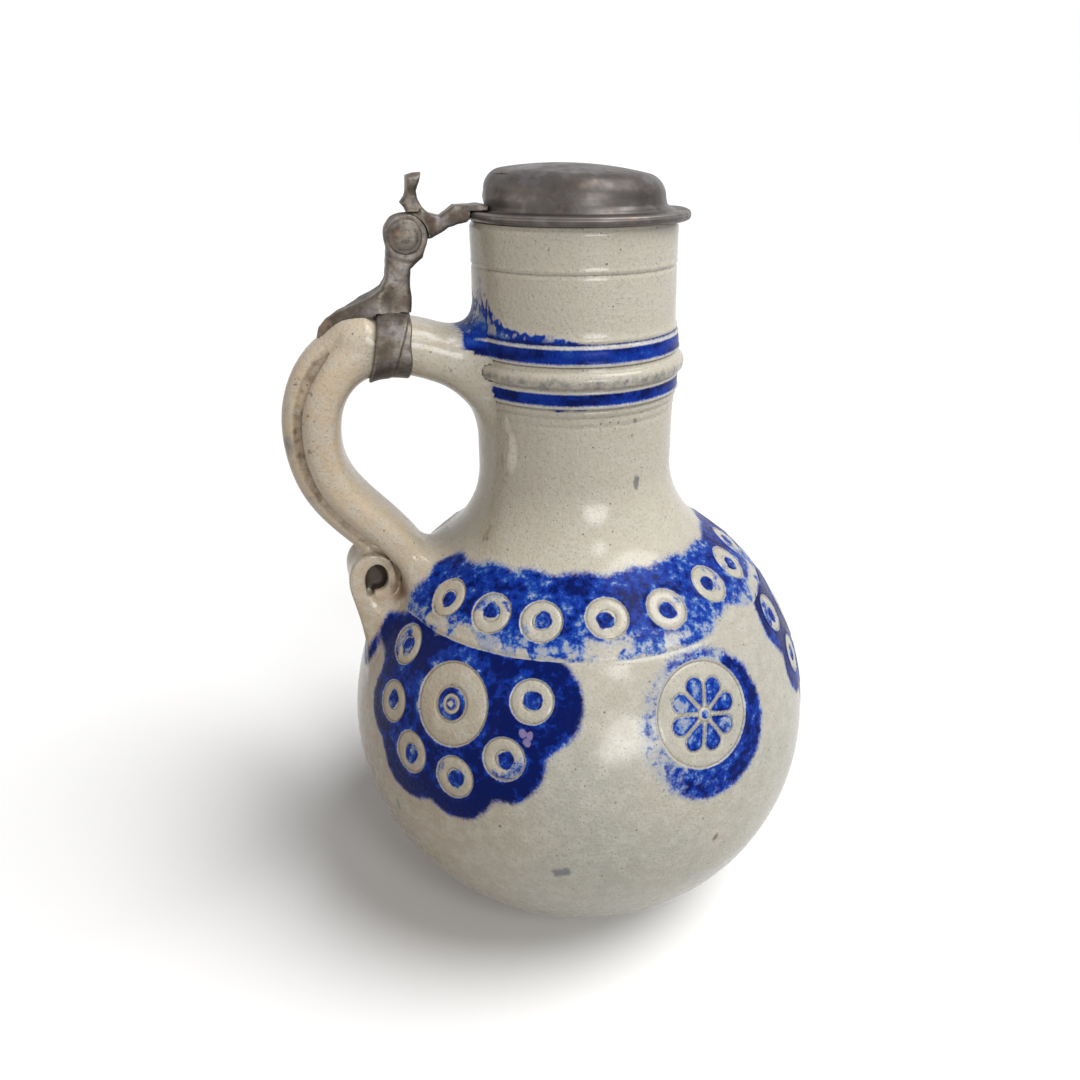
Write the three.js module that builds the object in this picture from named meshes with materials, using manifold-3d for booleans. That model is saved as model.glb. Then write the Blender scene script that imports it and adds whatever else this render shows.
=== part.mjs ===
// A stoneware jug with a hinged pewter lid, in millimetres, +Z up.
// The origin is the centre of the flat base. The handle points along -X, and the lid turns on a pin along Y.
// Side outlines are drawn as [distance out from the jug's axis towards the handle, height].

import * as THREE from "three";
import { mergeVertices } from "three/addons/utils/BufferGeometryUtils.js";
import Module from "manifold-3d";

const wasm = await Module();
wasm.setup();

// Clay body
const BELLY_RADIUS = 82.6;
const BELLY_HEIGHT = 70.5; // from the base up to the belly's widest circle
const BELLY_DEPTH = 77; // how deep the lower half of the belly would reach if the base didn't cut it off
const BASE_RADIUS = 37.5;
const HEEL_HEIGHT = 3.5; // rounded corner between the base and the belly
const NECK_RADIUS = 32.3;
const RIM_HEIGHT = 242;
const RIM_CHAMFER = 0.8;
const SHOULDER_FILLET = 34; // hollow curve from the belly up into the neck
const WALL = 5;
const FLOOR_THICKNESS = 7;

// Turned ridge between the two blue bands of the neck
const RIDGE_DROP = 42.5; // below the rim
const RIDGE_HALF_HEIGHT = 2.4;
const RIDGE_RISE = 1.9;
const BAND_SWELL = 1.1; // the neck is this much thicker under the bands
const BAND_REACH = 6; // flat part of the swelling, each way from the ridge
const BAND_FADE = 9; // height over which the swelling runs out

// Marks stamped into the belly. A turn runs around the axis in degrees, 0 in front and -90 at the handle.
const SHOULDER_LATITUDE = 39.2; // of the turned line under the garland, in degrees over the widest circle
const LINE_DEPTH = 0.8;
const LINE_WIDTH = 1.3;
const MARK_RISE = 0.45; // height of the raised rim around every mark
const MARK_RIM = 1.4; // width of that rim
const MARK_RADIUS = 7; // of the small marks
const EYE_RADIUS = 2; // small hollow in the middle of every mark
// The garland's rings in view, set by hand and so unevenly: turn and latitude in degrees.
const GARLAND_PLACES = [
  [-61.5, 47.1],
  [-42.8, 47.4],
  [-25.7, 47.5],
  [-4.9, 48.4],
  [15.8, 48.3],
  [38, 49.6],
];
const GARLAND_STEP = 20; // from there on around the back
const GARLAND_COUNT = 16;
const TARGET_RADIUS = 13.2;
const TARGET_EYE = 5.3;
const TARGET_LATITUDE = 26.5;
const TARGET_TURNS = [-45.8, 80.2, 206.2];
const GROUP_PLACES = [[-21.2, 33.4], [-18.6, 20.5], [-9, 12.5], [3.9, 11.4], [15.3, 18.1], [20.5, 30.7]];
const ROSETTE_RADIUS = 16.8;
const ROSETTE_LATITUDE = 24.5;
const ROSETTE_TURNS = [16.8, 142.8];
const PETAL_COUNT = 8;
const PETAL_START = 3.4; // from the rosette's centre
const PETAL_END = 11.7;
const PETAL_ROUND = 2.5; // radius of its outer end

// Pulled clay handle, from the neck over an arch and down to the belly
const HANDLE_WIDTH = 24;
const HANDLE_FOOT_WIDTH = 22;
const HANDLE_THICKNESS = 17.6;
const HANDLE_ROOT_DROP = 44.7; // the handle meets the neck this far below the rim
const HANDLE_ROOT_SLOPE = 33.7; // degrees above level at the neck
const HANDLE_ROOT_PULL = 40.3; // how far the handle keeps that slope before it bends over
const HANDLE_REACH = 86.4; // farthest distance of the centre line from the jug's axis
const HANDLE_REACH_DROP = 63.6; // height of that farthest point, below the rim
const HANDLE_ARCH_PULL = 25.2; // how straight the handle comes down from its arch
const HANDLE_FALL_PULL = 26.8; // how straight it leaves its farthest point
const HANDLE_FOOT_LATITUDE = 45.2; // degrees above the belly's widest circle
const HANDLE_FOOT_SLOPE = 77.4; // degrees above level where it lands on the belly
const HANDLE_FOOT_PULL = 20.8;
const HANDLE_SINK = 7; // how far the bar runs on under the clay at both ends before it is trimmed
const RIB_WIDTH = 11;
const RIB_HEIGHT = 5.2; // rib along the outside of the handle
const RIB_START = 0.5; // share of the way along the handle where the rib has half risen
const RIB_FADE = 0.12; // share of the way on each side of that over which it rises

// Clay smeared onto the neck around the handle's root
const SMEAR_HEIGHT = 41;
const SMEAR_WIDTH = 34;
const SMEAR_DROP = 4; // its middle lies this far below the handle's
const SMEAR_LENGTH = 16; // how far from the neck it runs out into the handle

// Rolled clay end below the handle
const CURL_WIDTH = 17;
const CURL_RADIUS = 5.8; // of the roll's centre line, level
const CURL_RISE = 7.2; // the same, upright
const CURL_STRIP = 4; // thickness of the rolled strip
const CURL_ROOT_STRIP = 7; // thickness where it leaves the belly
const CURL_ROOT_LATITUDE = 27;
const CURL_LATITUDE = 39.9;
const CURL_LIFT = 10.5; // height of the roll's centre over the belly

// Pewter lid
const LID_OVERHANG = 1.9; // the flange reaches this far past the neck
const LID_EDGE = 2.8; // height of the flange's edge
const LID_CHAMFER = 0.8;
const LID_WALL = 2;
const DOME_RADIUS = 27.8;
const DOME_HEIGHT = 12.6; // from the top of the flange's edge to the crown
const DOME_SHOULDER = 6.5; // radius of the dome's rounded shoulder
const DOME_CROWN = 2; // the crown rises this much over the shoulder
const COVE = 1.2; // hollow corner between the flange and the dome

// Hinge: five rings on one pin, three of the bracket and two of the tang
const HINGE_OUT = 19.1; // from the lid's edge out to the pin
const HINGE_DROP = 3.6; // the pin lies this far below the rim
const HINGE_WIDTH = 12;
const RING_RADIUS = 6.3;
const RING_COUNT = 5;
const PIN_RADIUS = 1.6;
const CAP_RADIUS = 4.8;
const CAP_EDGE = 0.5;
const CAP_DOME = 2;

// Tang and thumbpiece
const TANG_THICKNESS = 4.6;
const TANG_WAIST = 8; // width of the tang at its narrowest
const TANG_FOOT = 12; // width of the tang where it holds the lid
const TANG_PLATE = 1; // thickness of the tang on the flange
const TANG_GRIP = 5.4; // how far the tang reaches in over the flange
const TANG_BEND = 4; // how far outside the flange the tang starts to come down
const SADDLE_RISE = 5; // height of the tang's low point over the pin
const SADDLE_SHIFT = 1; // that point lies this far inside the middle between pin and lid
const THUMB_HEIGHT = 17.2; // over the pin
const THUMB_THICKNESS = 2.7;
const THUMB_BACK = 2.6; // the stem stands this far on the lid's side of the pin
const THUMB_LEAN = 1; // how far its tip leans towards the lid
const THUMB_STEM = 7;
const THUMB_TOP = 11;
const THUMB_ROUND = 2; // corner radius of its top
const THUMB_SPUR = 2.2;
const THUMB_LIP = 0.7; // how much thicker the top is, each side

// Bracket and strap on the handle
const SHANK_THICKNESS = 7.2;
const SHANK_OUT = 3.1; // the middle of the shank stands this far outside the pin
const BOSS_DROP = 9.2; // the knuckle's lower end lies this far under the pin
const TAIL_REACH = 28; // from the pin out to the tail's tip
const TAIL_THICKNESS = 6.8; // over the handle beside the shank, running out to the tip
const TAIL_TIP = 2.4;
const TAIL_FILLET = 2.6;
const TAIL_WIDTH = 16;
const TAIL_TIP_WIDTH = 5;
const STRAP_THICKNESS = 1.8;
const STRAP_TOP_WIDTH = 8.7;
const STRAP_BOTTOM_WIDTH = 12.4;
const STRAP_OUT = 3; // middle of the strap under the hinge, outside the pin
const STRAP_SLANT = 6.8; // its lower end lies this much farther out
const STRAP_SPAN = 44; // height over which it slants

// Fits
const JOINT_GAP = 0.3; // between pieces that were luted, soldered or laid on each other
const RUNNING_GAP = 0.35; // between the rings of the hinge, and around its pin

const SIDES = 48; // facets of the round pieces
const SMALL_SIDES = 32; // facets of the rings and caps, and of the jug's inside

const ridgeHeight = RIM_HEIGHT - RIDGE_DROP;
const rootHeight = RIM_HEIGHT - HANDLE_ROOT_DROP;
const reachHeight = RIM_HEIGHT - HANDLE_REACH_DROP;
const lidRadius = NECK_RADIUS + LID_OVERHANG;
const lidBottom = RIM_HEIGHT + JOINT_GAP;
const hingeOut = lidRadius + HINGE_OUT;
const hingeHeight = RIM_HEIGHT - HINGE_DROP;
const radians = THREE.MathUtils.degToRad;
const mix = THREE.MathUtils.lerp;

// A closed geometry as a solid.
function solidOf(geometry) {
  const bare = geometry.clone();
  bare.deleteAttribute("normal");
  bare.deleteAttribute("uv");
  const merged = mergeVertices(bare, 1e-4);
  const corners = merged.index.array;
  const kept = [];
  for (let i = 0; i < corners.length; i += 3) {
    const [a, b, c] = corners.slice(i, i + 3);
    if (a !== b && b !== c && c !== a) kept.push(a, b, c);
  }
  const vertProperties = new Float32Array(merged.attributes.position.array);
  return new wasm.Manifold(new wasm.Mesh({ numProp: 3, vertProperties, triVerts: new Uint32Array(kept) }));
}

// A named mesh of a solid.
function meshOf(name, solid, material) {
  const { vertProperties, triVerts } = solid.getMesh();
  const geometry = new THREE.BufferGeometry();
  geometry.setAttribute("position", new THREE.BufferAttribute(vertProperties, 3));
  geometry.setIndex(new THREE.BufferAttribute(triVerts, 1));
  const mesh = new THREE.Mesh(geometry.toNonIndexed(), material);
  mesh.geometry.computeVertexNormals();
  mesh.name = name;
  return mesh;
}

// A profile of [radius, height] points turned about the jug's axis. It starts and ends on the axis.
function turned(profile, sides = SIDES) {
  const points = profile.map(([radius, height]) => new THREE.Vector2(radius, height));
  return solidOf(new THREE.LatheGeometry(points, sides).rotateX(Math.PI / 2));
}

// A side outline of [out, height] points, given a width across the handle's plane.
function sidePlate(outline, width, middle = 0) {
  const shape = new THREE.Shape(outline.map(([out, height]) => new THREE.Vector2(-out, height)));
  const geometry = new THREE.ExtrudeGeometry(shape, { depth: width, bevelEnabled: false });
  return solidOf(geometry.rotateX(Math.PI / 2).translate(0, middle + width / 2, 0));
}

// A plan outline of [out, across] points, standing between two heights.
function planBlock(outline, low, high) {
  const shape = new THREE.Shape(outline.map(([out, across]) => new THREE.Vector2(-out, across)));
  const geometry = new THREE.ExtrudeGeometry(shape, { depth: high - low, bevelEnabled: false });
  return solidOf(geometry.translate(0, 0, low));
}

// A front outline of [across, height] points, running along X between two distances out.
function frontBlock(outline, inner, outer) {
  const shape = new THREE.Shape(outline.map(([across, height]) => new THREE.Vector2(across, height)));
  const geometry = new THREE.ExtrudeGeometry(shape, { depth: outer - inner, bevelEnabled: false });
  return solidOf(geometry.rotateX(Math.PI / 2).rotateZ(Math.PI / 2).translate(-outer, 0, 0));
}

// A round bar along the hinge's axis, between two places across the handle's plane.
function hingeBar(radius, start, end) {
  const geometry = new THREE.CylinderGeometry(radius, radius, end - start, SMALL_SIDES);
  return solidOf(geometry.translate(-hingeOut, (start + end) / 2, hingeHeight));
}

// A skin through rings of the same number of points, closed at both ends.
function loft(rings) {
  const count = rings[0].length;
  const ends = [rings[0], rings[rings.length - 1]];
  const middles = ends.map((ring) =>
    ring.reduce((sum, point) => sum.add(point), new THREE.Vector3()).divideScalar(count),
  );
  const index = [];
  const first = rings.length * count;
  const last = (rings.length - 1) * count;
  for (let j = 0; j < count; j++) {
    const next = (j + 1) % count;
    for (let i = 0; i < rings.length - 1; i++) {
      const near = i * count;
      const far = near + count;
      index.push(near + j, far + next, near + next, near + j, far + j, far + next);
    }
    index.push(first, j, next, first + 1, last + next, last + j);
  }
  const geometry = new THREE.BufferGeometry().setFromPoints([...rings.flat(), ...middles]);
  geometry.setIndex(index);
  return solidOf(geometry);
}

// Points on an arc around a centre in a side or turning outline, angles in radians.
function arc([x, y], radius, from, to, steps, radiusY = radius) {
  return Array.from({ length: steps + 1 }, (_, i) => {
    const angle = mix(from, to, i / steps);
    return [x + radius * Math.cos(angle), y + radiusY * Math.sin(angle)];
  });
}

// The same outline on the other side of its middle line, in the opposite order.
const mirrored = (outline) => outline.map(([across, height]) => [-across, height]).reverse();

// The same for plan outlines, whose second number runs across.
const mirroredPlan = (outline) => outline.map(([out, across]) => [out, -across]).reverse();

// The point over the belly at a latitude and a height over its surface.
function overBelly(latitude, lift) {
  const angle = radians(latitude);
  const distance = BELLY_RADIUS + lift;
  return [distance * Math.cos(angle), BELLY_HEIGHT + distance * Math.sin(angle)];
}

// Where the belly runs over into the hollow of the shoulder: its angle, and that hollow's centre.
function shoulderFit() {
  const out = NECK_RADIUS + SHOULDER_FILLET;
  const reach = BELLY_RADIUS + SHOULDER_FILLET;
  return { angle: Math.acos(out / reach), centre: [out, BELLY_HEIGHT + Math.sqrt(reach ** 2 - out ** 2)] };
}

// The belly and shoulder up into the neck, moved outwards by grow, starting at a height under the belly.
function bellySide(grow, start, [under, over, hollow]) {
  const { angle, centre } = shoulderFit();
  const belly = [0, BELLY_HEIGHT];
  const depth = BELLY_DEPTH + grow;
  return [
    ...arc(belly, BELLY_RADIUS + grow, -Math.asin((BELLY_HEIGHT - start) / depth), 0, under, depth),
    ...arc(belly, BELLY_RADIUS + grow, 0, angle, over).slice(1),
    ...arc(centre, SHOULDER_FILLET - grow, Math.PI + angle, Math.PI, hollow).slice(1),
  ];
}

// The outside of the body as a full solid, moved outwards by grow.
function fullBody(grow) {
  const neck = NECK_RADIUS + grow;
  const swollen = neck + BAND_SWELL;
  return turned([
    [0, 0],
    [BASE_RADIUS + grow, 0],
    ...bellySide(grow, HEEL_HEIGHT, [9, 7, 6]),
    [neck, ridgeHeight - BAND_REACH - BAND_FADE],
    [swollen, ridgeHeight - BAND_REACH],
    ...arc([swollen, ridgeHeight], RIDGE_RISE, -Math.PI / 2, Math.PI / 2, 6, RIDGE_HALF_HEIGHT),
    [swollen, ridgeHeight + BAND_REACH],
    [neck, ridgeHeight + BAND_REACH + BAND_FADE],
    [neck, RIM_HEIGHT - RIM_CHAMFER],
    [neck - RIM_CHAMFER, RIM_HEIGHT],
    [0, RIM_HEIGHT],
  ]);
}

// A frame in the belly's centre whose third axis points out through a place on the belly.
function bellyFrame(turn, latitude) {
  return new THREE.Matrix4()
    .makeTranslation(0, 0, BELLY_HEIGHT)
    .multiply(new THREE.Matrix4().makeRotationZ(radians(turn)))
    .multiply(new THREE.Matrix4().makeRotationX(radians(90 - latitude)));
}

// A ring around a frame's third axis, with a section of [distance from its centre, height over the belly].
function bellyRing(frame, section, sides) {
  const points = [...section, section[0]].map(([distance, lift]) => {
    const angle = distance / BELLY_RADIUS;
    return new THREE.Vector2(Math.sin(angle), Math.cos(angle)).multiplyScalar(BELLY_RADIUS + lift);
  });
  return solidOf(new THREE.LatheGeometry(points, sides).rotateX(Math.PI / 2).applyMatrix4(frame));
}

// The raised rim of a mark, a ridge whose sides slope on down into the wall.
function markRim(frame, radius, sides) {
  const foot = (MARK_RIM / 2) * (1 + LINE_DEPTH / MARK_RISE);
  const section = [
    [radius - foot, -LINE_DEPTH],
    [radius + foot, -LINE_DEPTH],
    [radius, MARK_RISE],
  ];
  return bellyRing(frame, section, sides);
}

// The room of a pressed circle.
function markLine(frame, radius, sides) {
  const section = [
    [radius, -LINE_DEPTH],
    [radius + LINE_WIDTH, LINE_DEPTH],
    [radius - LINE_WIDTH, LINE_DEPTH],
  ];
  return bellyRing(frame, section, sides);
}

// The room of the small hollow in the middle of a mark.
function markEye(frame) {
  return bellyRing(frame, [[0, -LINE_DEPTH], [2 * EYE_RADIUS, LINE_DEPTH], [0, LINE_DEPTH]], 6);
}

// The room of one petal of a rosette, drop-shaped, pointing out from the rosette's centre.
function petal(frame, angle) {
  const middle = (PETAL_START + PETAL_END) / 2;
  const round = arc([PETAL_END - PETAL_ROUND - middle, 0], PETAL_ROUND, radians(-100), radians(100), 4);
  const outline = [[PETAL_START - middle, 0], ...round];
  const shape = new THREE.Shape(outline.map((point) => new THREE.Vector2(...point)));
  const geometry = new THREE.ExtrudeGeometry(shape, { depth: 2 * LINE_DEPTH, bevelEnabled: false })
    .translate(0, 0, BELLY_RADIUS - LINE_DEPTH)
    .rotateY(middle / BELLY_RADIUS)
    .rotateZ(angle);
  return solidOf(geometry.applyMatrix4(frame));
}

// Every mark on the belly: its frame, its radius and its kind.
function stampedMarks() {
  const marks = [];
  const [lastTurn, lastLatitude] = GARLAND_PLACES[GARLAND_PLACES.length - 1];
  const places = [...GARLAND_PLACES];
  for (let i = 1; places.length < GARLAND_COUNT; i++) {
    places.push([lastTurn + GARLAND_STEP * i, lastLatitude]);
  }
  for (const [turn, latitude] of places) {
    marks.push({ frame: bellyFrame(turn, latitude), radius: MARK_RADIUS, kind: "ring" });
  }
  for (const turn of TARGET_TURNS) {
    marks.push({ frame: bellyFrame(turn, TARGET_LATITUDE), radius: TARGET_RADIUS, kind: "target" });
    for (const [side, latitude] of GROUP_PLACES) {
      marks.push({ frame: bellyFrame(turn + side, latitude), radius: MARK_RADIUS, kind: "ring" });
    }
  }
  for (const turn of ROSETTE_TURNS) {
    marks.push({ frame: bellyFrame(turn, ROSETTE_LATITUDE), radius: ROSETTE_RADIUS, kind: "rosette" });
  }
  return marks;
}

// The body's outside with the marks and the shoulder's turned line.
function stampedBody() {
  const rims = [];
  const cuts = [markLine(bellyFrame(0, 90), radians(90 - SHOULDER_LATITUDE) * BELLY_RADIUS, SIDES)];
  for (const { frame, radius, kind } of stampedMarks()) {
    rims.push(markRim(frame, radius, kind === "ring" ? 10 : 16));
    cuts.push(markEye(frame));
    if (kind === "target") cuts.push(markLine(frame, TARGET_EYE, 10));
    if (kind === "rosette") {
      for (let i = 0; i < PETAL_COUNT; i++) cuts.push(petal(frame, ((i + 0.5) / PETAL_COUNT) * 2 * Math.PI));
    }
  }
  const body = rims.reduce((solid, rim) => solid.add(rim), fullBody(0));
  return cuts.reduce((solid, cut) => solid.subtract(cut), body);
}

// The thrown body: its outside, and a cavity that follows it one wall further in.
function jugBody() {
  const bore = NECK_RADIUS - WALL;
  const cavity = [
    [0, FLOOR_THICKNESS],
    ...bellySide(-WALL, FLOOR_THICKNESS, [6, 5, 4]),
    [bore, RIM_HEIGHT - RIM_CHAMFER],
    [bore + RIM_CHAMFER, RIM_HEIGHT],
    [bore + RIM_CHAMFER, RIM_HEIGHT + WALL],
    [0, RIM_HEIGHT + WALL],
  ];
  return stampedBody().subtract(turned(cavity, SMALL_SIDES));
}

// Half the height of a rounded outline at a place across it, both given as shares of its half size.
const squircle = (across, power) => (1 - Math.min(1, Math.abs(across)) ** power) ** (1 / power);

// The handle's section as [across, out of the centre line] points: round inside, a rib along the outside.
function handleSection(width, thickness, rib) {
  const halfRib = RIB_WIDTH / width;
  const edge = 0.82;
  const shoulders = [1, 0.95, edge, (halfRib + edge) / 2];
  const ribSide = [0, 25, 50].map((angle) => halfRib * Math.cos(radians(angle)));
  const half = [...shoulders, ...ribSide];
  const strapTop = thickness / 2 - RIB_HEIGHT;
  const outside = [...half, 0, ...half.map((across) => -across).reverse()].map((across) => {
    const plain = (thickness / 2) * squircle(across, 2.6);
    const raised = strapTop * squircle(across, 4) + RIB_HEIGHT * squircle(across / halfRib, 2);
    return [(across * width) / 2, mix(plain, raised, rib)];
  });
  const inside = [-70, -48, -24, 0, 24, 48, 70].map((angle) => {
    const across = Math.sin(radians(angle));
    return [(across * width) / 2, (-thickness / 2) * squircle(across, 2.6)];
  });
  return [...outside, ...inside];
}

// A point moved along a slope given in degrees above level, pointing away from the jug.
function along([out, height], slope, distance) {
  return new THREE.Vector2(
    out + distance * Math.cos(radians(slope)),
    height + distance * Math.sin(radians(slope)),
  );
}

// The handle's centre line in two sweeps, root to farthest point and on down to the belly.
function handleLine() {
  const root = [NECK_RADIUS, rootHeight];
  const reach = [HANDLE_REACH, reachHeight];
  const foot = overBelly(HANDLE_FOOT_LATITUDE, 0);
  const top = along(reach, 90, 0);
  return [
    new THREE.CubicBezierCurve(
      along(root, HANDLE_ROOT_SLOPE, -HANDLE_SINK),
      along(root, HANDLE_ROOT_SLOPE, HANDLE_ROOT_PULL),
      along(reach, 90, HANDLE_ARCH_PULL),
      top,
    ),
    new THREE.CubicBezierCurve(
      top,
      along(reach, -90, HANDLE_FALL_PULL),
      along(foot, HANDLE_FOOT_SLOPE, HANDLE_FOOT_PULL),
      along(foot, HANDLE_FOOT_SLOPE, -HANDLE_SINK),
    ),
  ];
}

// Places along the handle with the point, the direction out of the handle, and the shape of the section.
function handleStations() {
  const [arch, fall] = handleLine();
  const archLength = arch.getLength();
  const length = archLength + fall.getLength();
  const stations = [];
  for (const [curve, before, steps] of [[arch, 0, 18], [fall, archLength, 13]]) {
    for (let i = before ? 1 : 0; i <= steps; i++) {
      const tangent = curve.getTangentAt(i / steps);
      const share = (before + (curve.getLength() * i) / steps) / length;
      stations.push({
        point: curve.getPointAt(i / steps),
        outward: new THREE.Vector2(-tangent.y, tangent.x),
        width: mix(HANDLE_WIDTH, HANDLE_FOOT_WIDTH, THREE.MathUtils.smoothstep(share, RIB_START, 1)),
        rib: THREE.MathUtils.smoothstep(share, RIB_START - RIB_FADE, RIB_START + RIB_FADE),
      });
    }
  }
  return stations;
}

// The handle's bar, with its section moved outwards by grow.
function handleBar(grow) {
  return loft(
    handleStations().map(({ point, outward, width, rib }) =>
      handleSection(width + 2 * grow, HANDLE_THICKNESS + 2 * grow, rib).map(
        ([across, out]) => new THREE.Vector3(-(point.x + out * outward.x), across, point.y + out * outward.y),
      ),
    ),
  );
}

// The clay smeared around the handle's root: upright rings that shrink from the neck into the handle.
function rootSmear() {
  const sides = 20;
  const rings = handleStations()
    .filter(({ point }) => point.x < NECK_RADIUS + SMEAR_LENGTH && point.y > reachHeight)
    .map(({ point, outward }) => {
      const spread = (1 - Math.max(0, point.x - NECK_RADIUS) / SMEAR_LENGTH) ** 2;
      const height = mix(HANDLE_THICKNESS / outward.y, SMEAR_HEIGHT, spread) / 2;
      const width = mix(HANDLE_WIDTH, SMEAR_WIDTH, spread) / 2;
      const middle = point.y - SMEAR_DROP * spread;
      return Array.from({ length: sides }, (_, i) => {
        const angle = (i / sides) * 2 * Math.PI;
        return new THREE.Vector3(-point.x, width * Math.cos(angle), middle + height * Math.sin(angle));
      });
    });
  return loft(rings);
}

// The rolled end: a strip that leaves the belly and rolls inwards around an open eye.
function curl() {
  const centre = overBelly(CURL_LATITUDE, CURL_LIFT);
  const roll = arc(centre, CURL_RADIUS, radians(-25), radians(210), 8, CURL_RISE);
  const root = overBelly(CURL_ROOT_LATITUDE, -CURL_ROOT_STRIP / 2);
  const points = [root, ...roll].map(([out, height]) => new THREE.Vector3(out, height, 0));
  const line = new THREE.CatmullRomCurve3(points, false, "centripetal");
  const steps = 24;
  const sides = 12;
  const rings = Array.from({ length: steps + 1 }, (_, i) => {
    const point = line.getPointAt(i / steps);
    const tangent = line.getTangentAt(i / steps);
    const thickness = mix(CURL_ROOT_STRIP, CURL_STRIP, Math.min(1, (3 * i) / steps));
    return Array.from({ length: sides }, (_, j) => {
      const [x, y] = [Math.cos, Math.sin].map((turn) => turn((j / sides) * 2 * Math.PI));
      const across = (Math.sign(x) * Math.abs(x) ** 0.4 * CURL_WIDTH) / 2;
      const out = (Math.sign(y) * Math.abs(y) ** 0.4 * thickness) / 2;
      return new THREE.Vector3(-(point.x - out * tangent.y), across, point.y + out * tangent.x);
    });
  });
  return loft(rings);
}

function jugHandle() {
  return handleBar(0).add(rootSmear()).add(curl()).subtract(fullBody(JOINT_GAP));
}

// Half of a cushion dome's outline: its rounded shoulder, then up to the crown.
function domeSide(radius, crown, steps) {
  const centre = [radius - DOME_SHOULDER, crown - DOME_CROWN - DOME_SHOULDER];
  return [
    ...arc(centre, DOME_SHOULDER, 0, radians(75), steps),
    [radius / 2, crown - DOME_CROWN / 3],
    [0, crown],
  ];
}

// The lid's outside: a flat flange on the rim and a low cushion, moved outwards by grow.
function lidOutside(grow) {
  const top = lidBottom + LID_EDGE;
  return turned([
    [0, lidBottom - grow],
    [lidRadius - LID_CHAMFER + grow, lidBottom - grow],
    [lidRadius + grow, lidBottom + LID_CHAMFER - grow],
    [lidRadius + grow, top - LID_CHAMFER + grow],
    [lidRadius - LID_CHAMFER + grow, top + grow],
    [DOME_RADIUS + COVE + grow, top + grow],
    [DOME_RADIUS + grow, top + COVE + grow],
    ...domeSide(DOME_RADIUS + grow, top + DOME_HEIGHT + grow, 6),
  ]);
}

function lid() {
  const inner = DOME_RADIUS - LID_WALL;
  const hollow = turned([
    [0, lidBottom - LID_WALL],
    [inner, lidBottom - LID_WALL],
    ...domeSide(inner, lidBottom + LID_EDGE + DOME_HEIGHT - LID_WALL, 4),
  ]);
  return lidOutside(0).subtract(hollow);
}

// The places across the hinge where each ring starts, and the width of a ring.
const ringWidth = (HINGE_WIDTH - (RING_COUNT - 1) * RUNNING_GAP) / RING_COUNT;
const ringStart = (i) => -HINGE_WIDTH / 2 + i * (ringWidth + RUNNING_GAP);

// Room around the rings numbered first, first + 2 and so on, as wide as they are with a gap at each side.
function ringRoom(first) {
  let room = hingeBar(PIN_RADIUS + RUNNING_GAP, -HINGE_WIDTH, HINGE_WIDTH);
  for (let i = first; i < RING_COUNT; i += 2) {
    const start = ringStart(i) - (i === 0 ? HINGE_WIDTH : RUNNING_GAP);
    const end = ringStart(i) + ringWidth + (i === RING_COUNT - 1 ? HINGE_WIDTH : RUNNING_GAP);
    room = room.add(hingeBar(RING_RADIUS + RUNNING_GAP, start, end));
  }
  return room;
}

// The tang: two rings on the pin, a saddle, and an arm that grips the lid's flange.
function lidTang() {
  const ringTop = hingeHeight + RING_RADIUS;
  const saddleOut = (hingeOut + lidRadius) / 2 - SADDLE_SHIFT;
  const saddle = hingeHeight + SADDLE_RISE;
  const bendOut = lidRadius + TANG_BEND;
  const plateTop = lidBottom + LID_EDGE + JOINT_GAP + TANG_PLATE;
  const gripOut = lidRadius - TANG_GRIP;
  const half = HINGE_WIDTH / 2;
  const outline = [
    [hingeOut, ringTop],
    [hingeOut, hingeHeight],
    [hingeOut - RING_RADIUS, hingeHeight],
    [saddleOut, saddle - TANG_THICKNESS],
    [bendOut, plateTop - TANG_THICKNESS],
    [lidRadius, lidBottom],
    [gripOut, lidBottom + LID_EDGE],
    [gripOut, plateTop],
    [bendOut - TANG_PLATE, plateTop],
    [(bendOut + saddleOut) / 2, (plateTop + saddle) / 2],
    [saddleOut, saddle],
    [saddleOut + TANG_THICKNESS, ringTop],
  ];
  const plan = [
    [hingeOut + RING_RADIUS, -half],
    [hingeOut - RING_RADIUS, -half],
    [saddleOut, -TANG_WAIST / 2],
    [bendOut, -TANG_WAIST / 2],
    [lidRadius, -TANG_FOOT / 2],
    [gripOut, -TANG_FOOT / 2],
  ];
  const arm = sidePlate(outline, 2 * Math.max(half, TANG_FOOT)).intersect(
    planBlock([...plan, ...mirroredPlan(plan)], hingeHeight - RING_RADIUS, RIM_HEIGHT + DOME_HEIGHT),
  );
  return hingeBar(RING_RADIUS, -half, half).add(arm).subtract(ringRoom(0)).subtract(lidOutside(JOINT_GAP));
}

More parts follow.
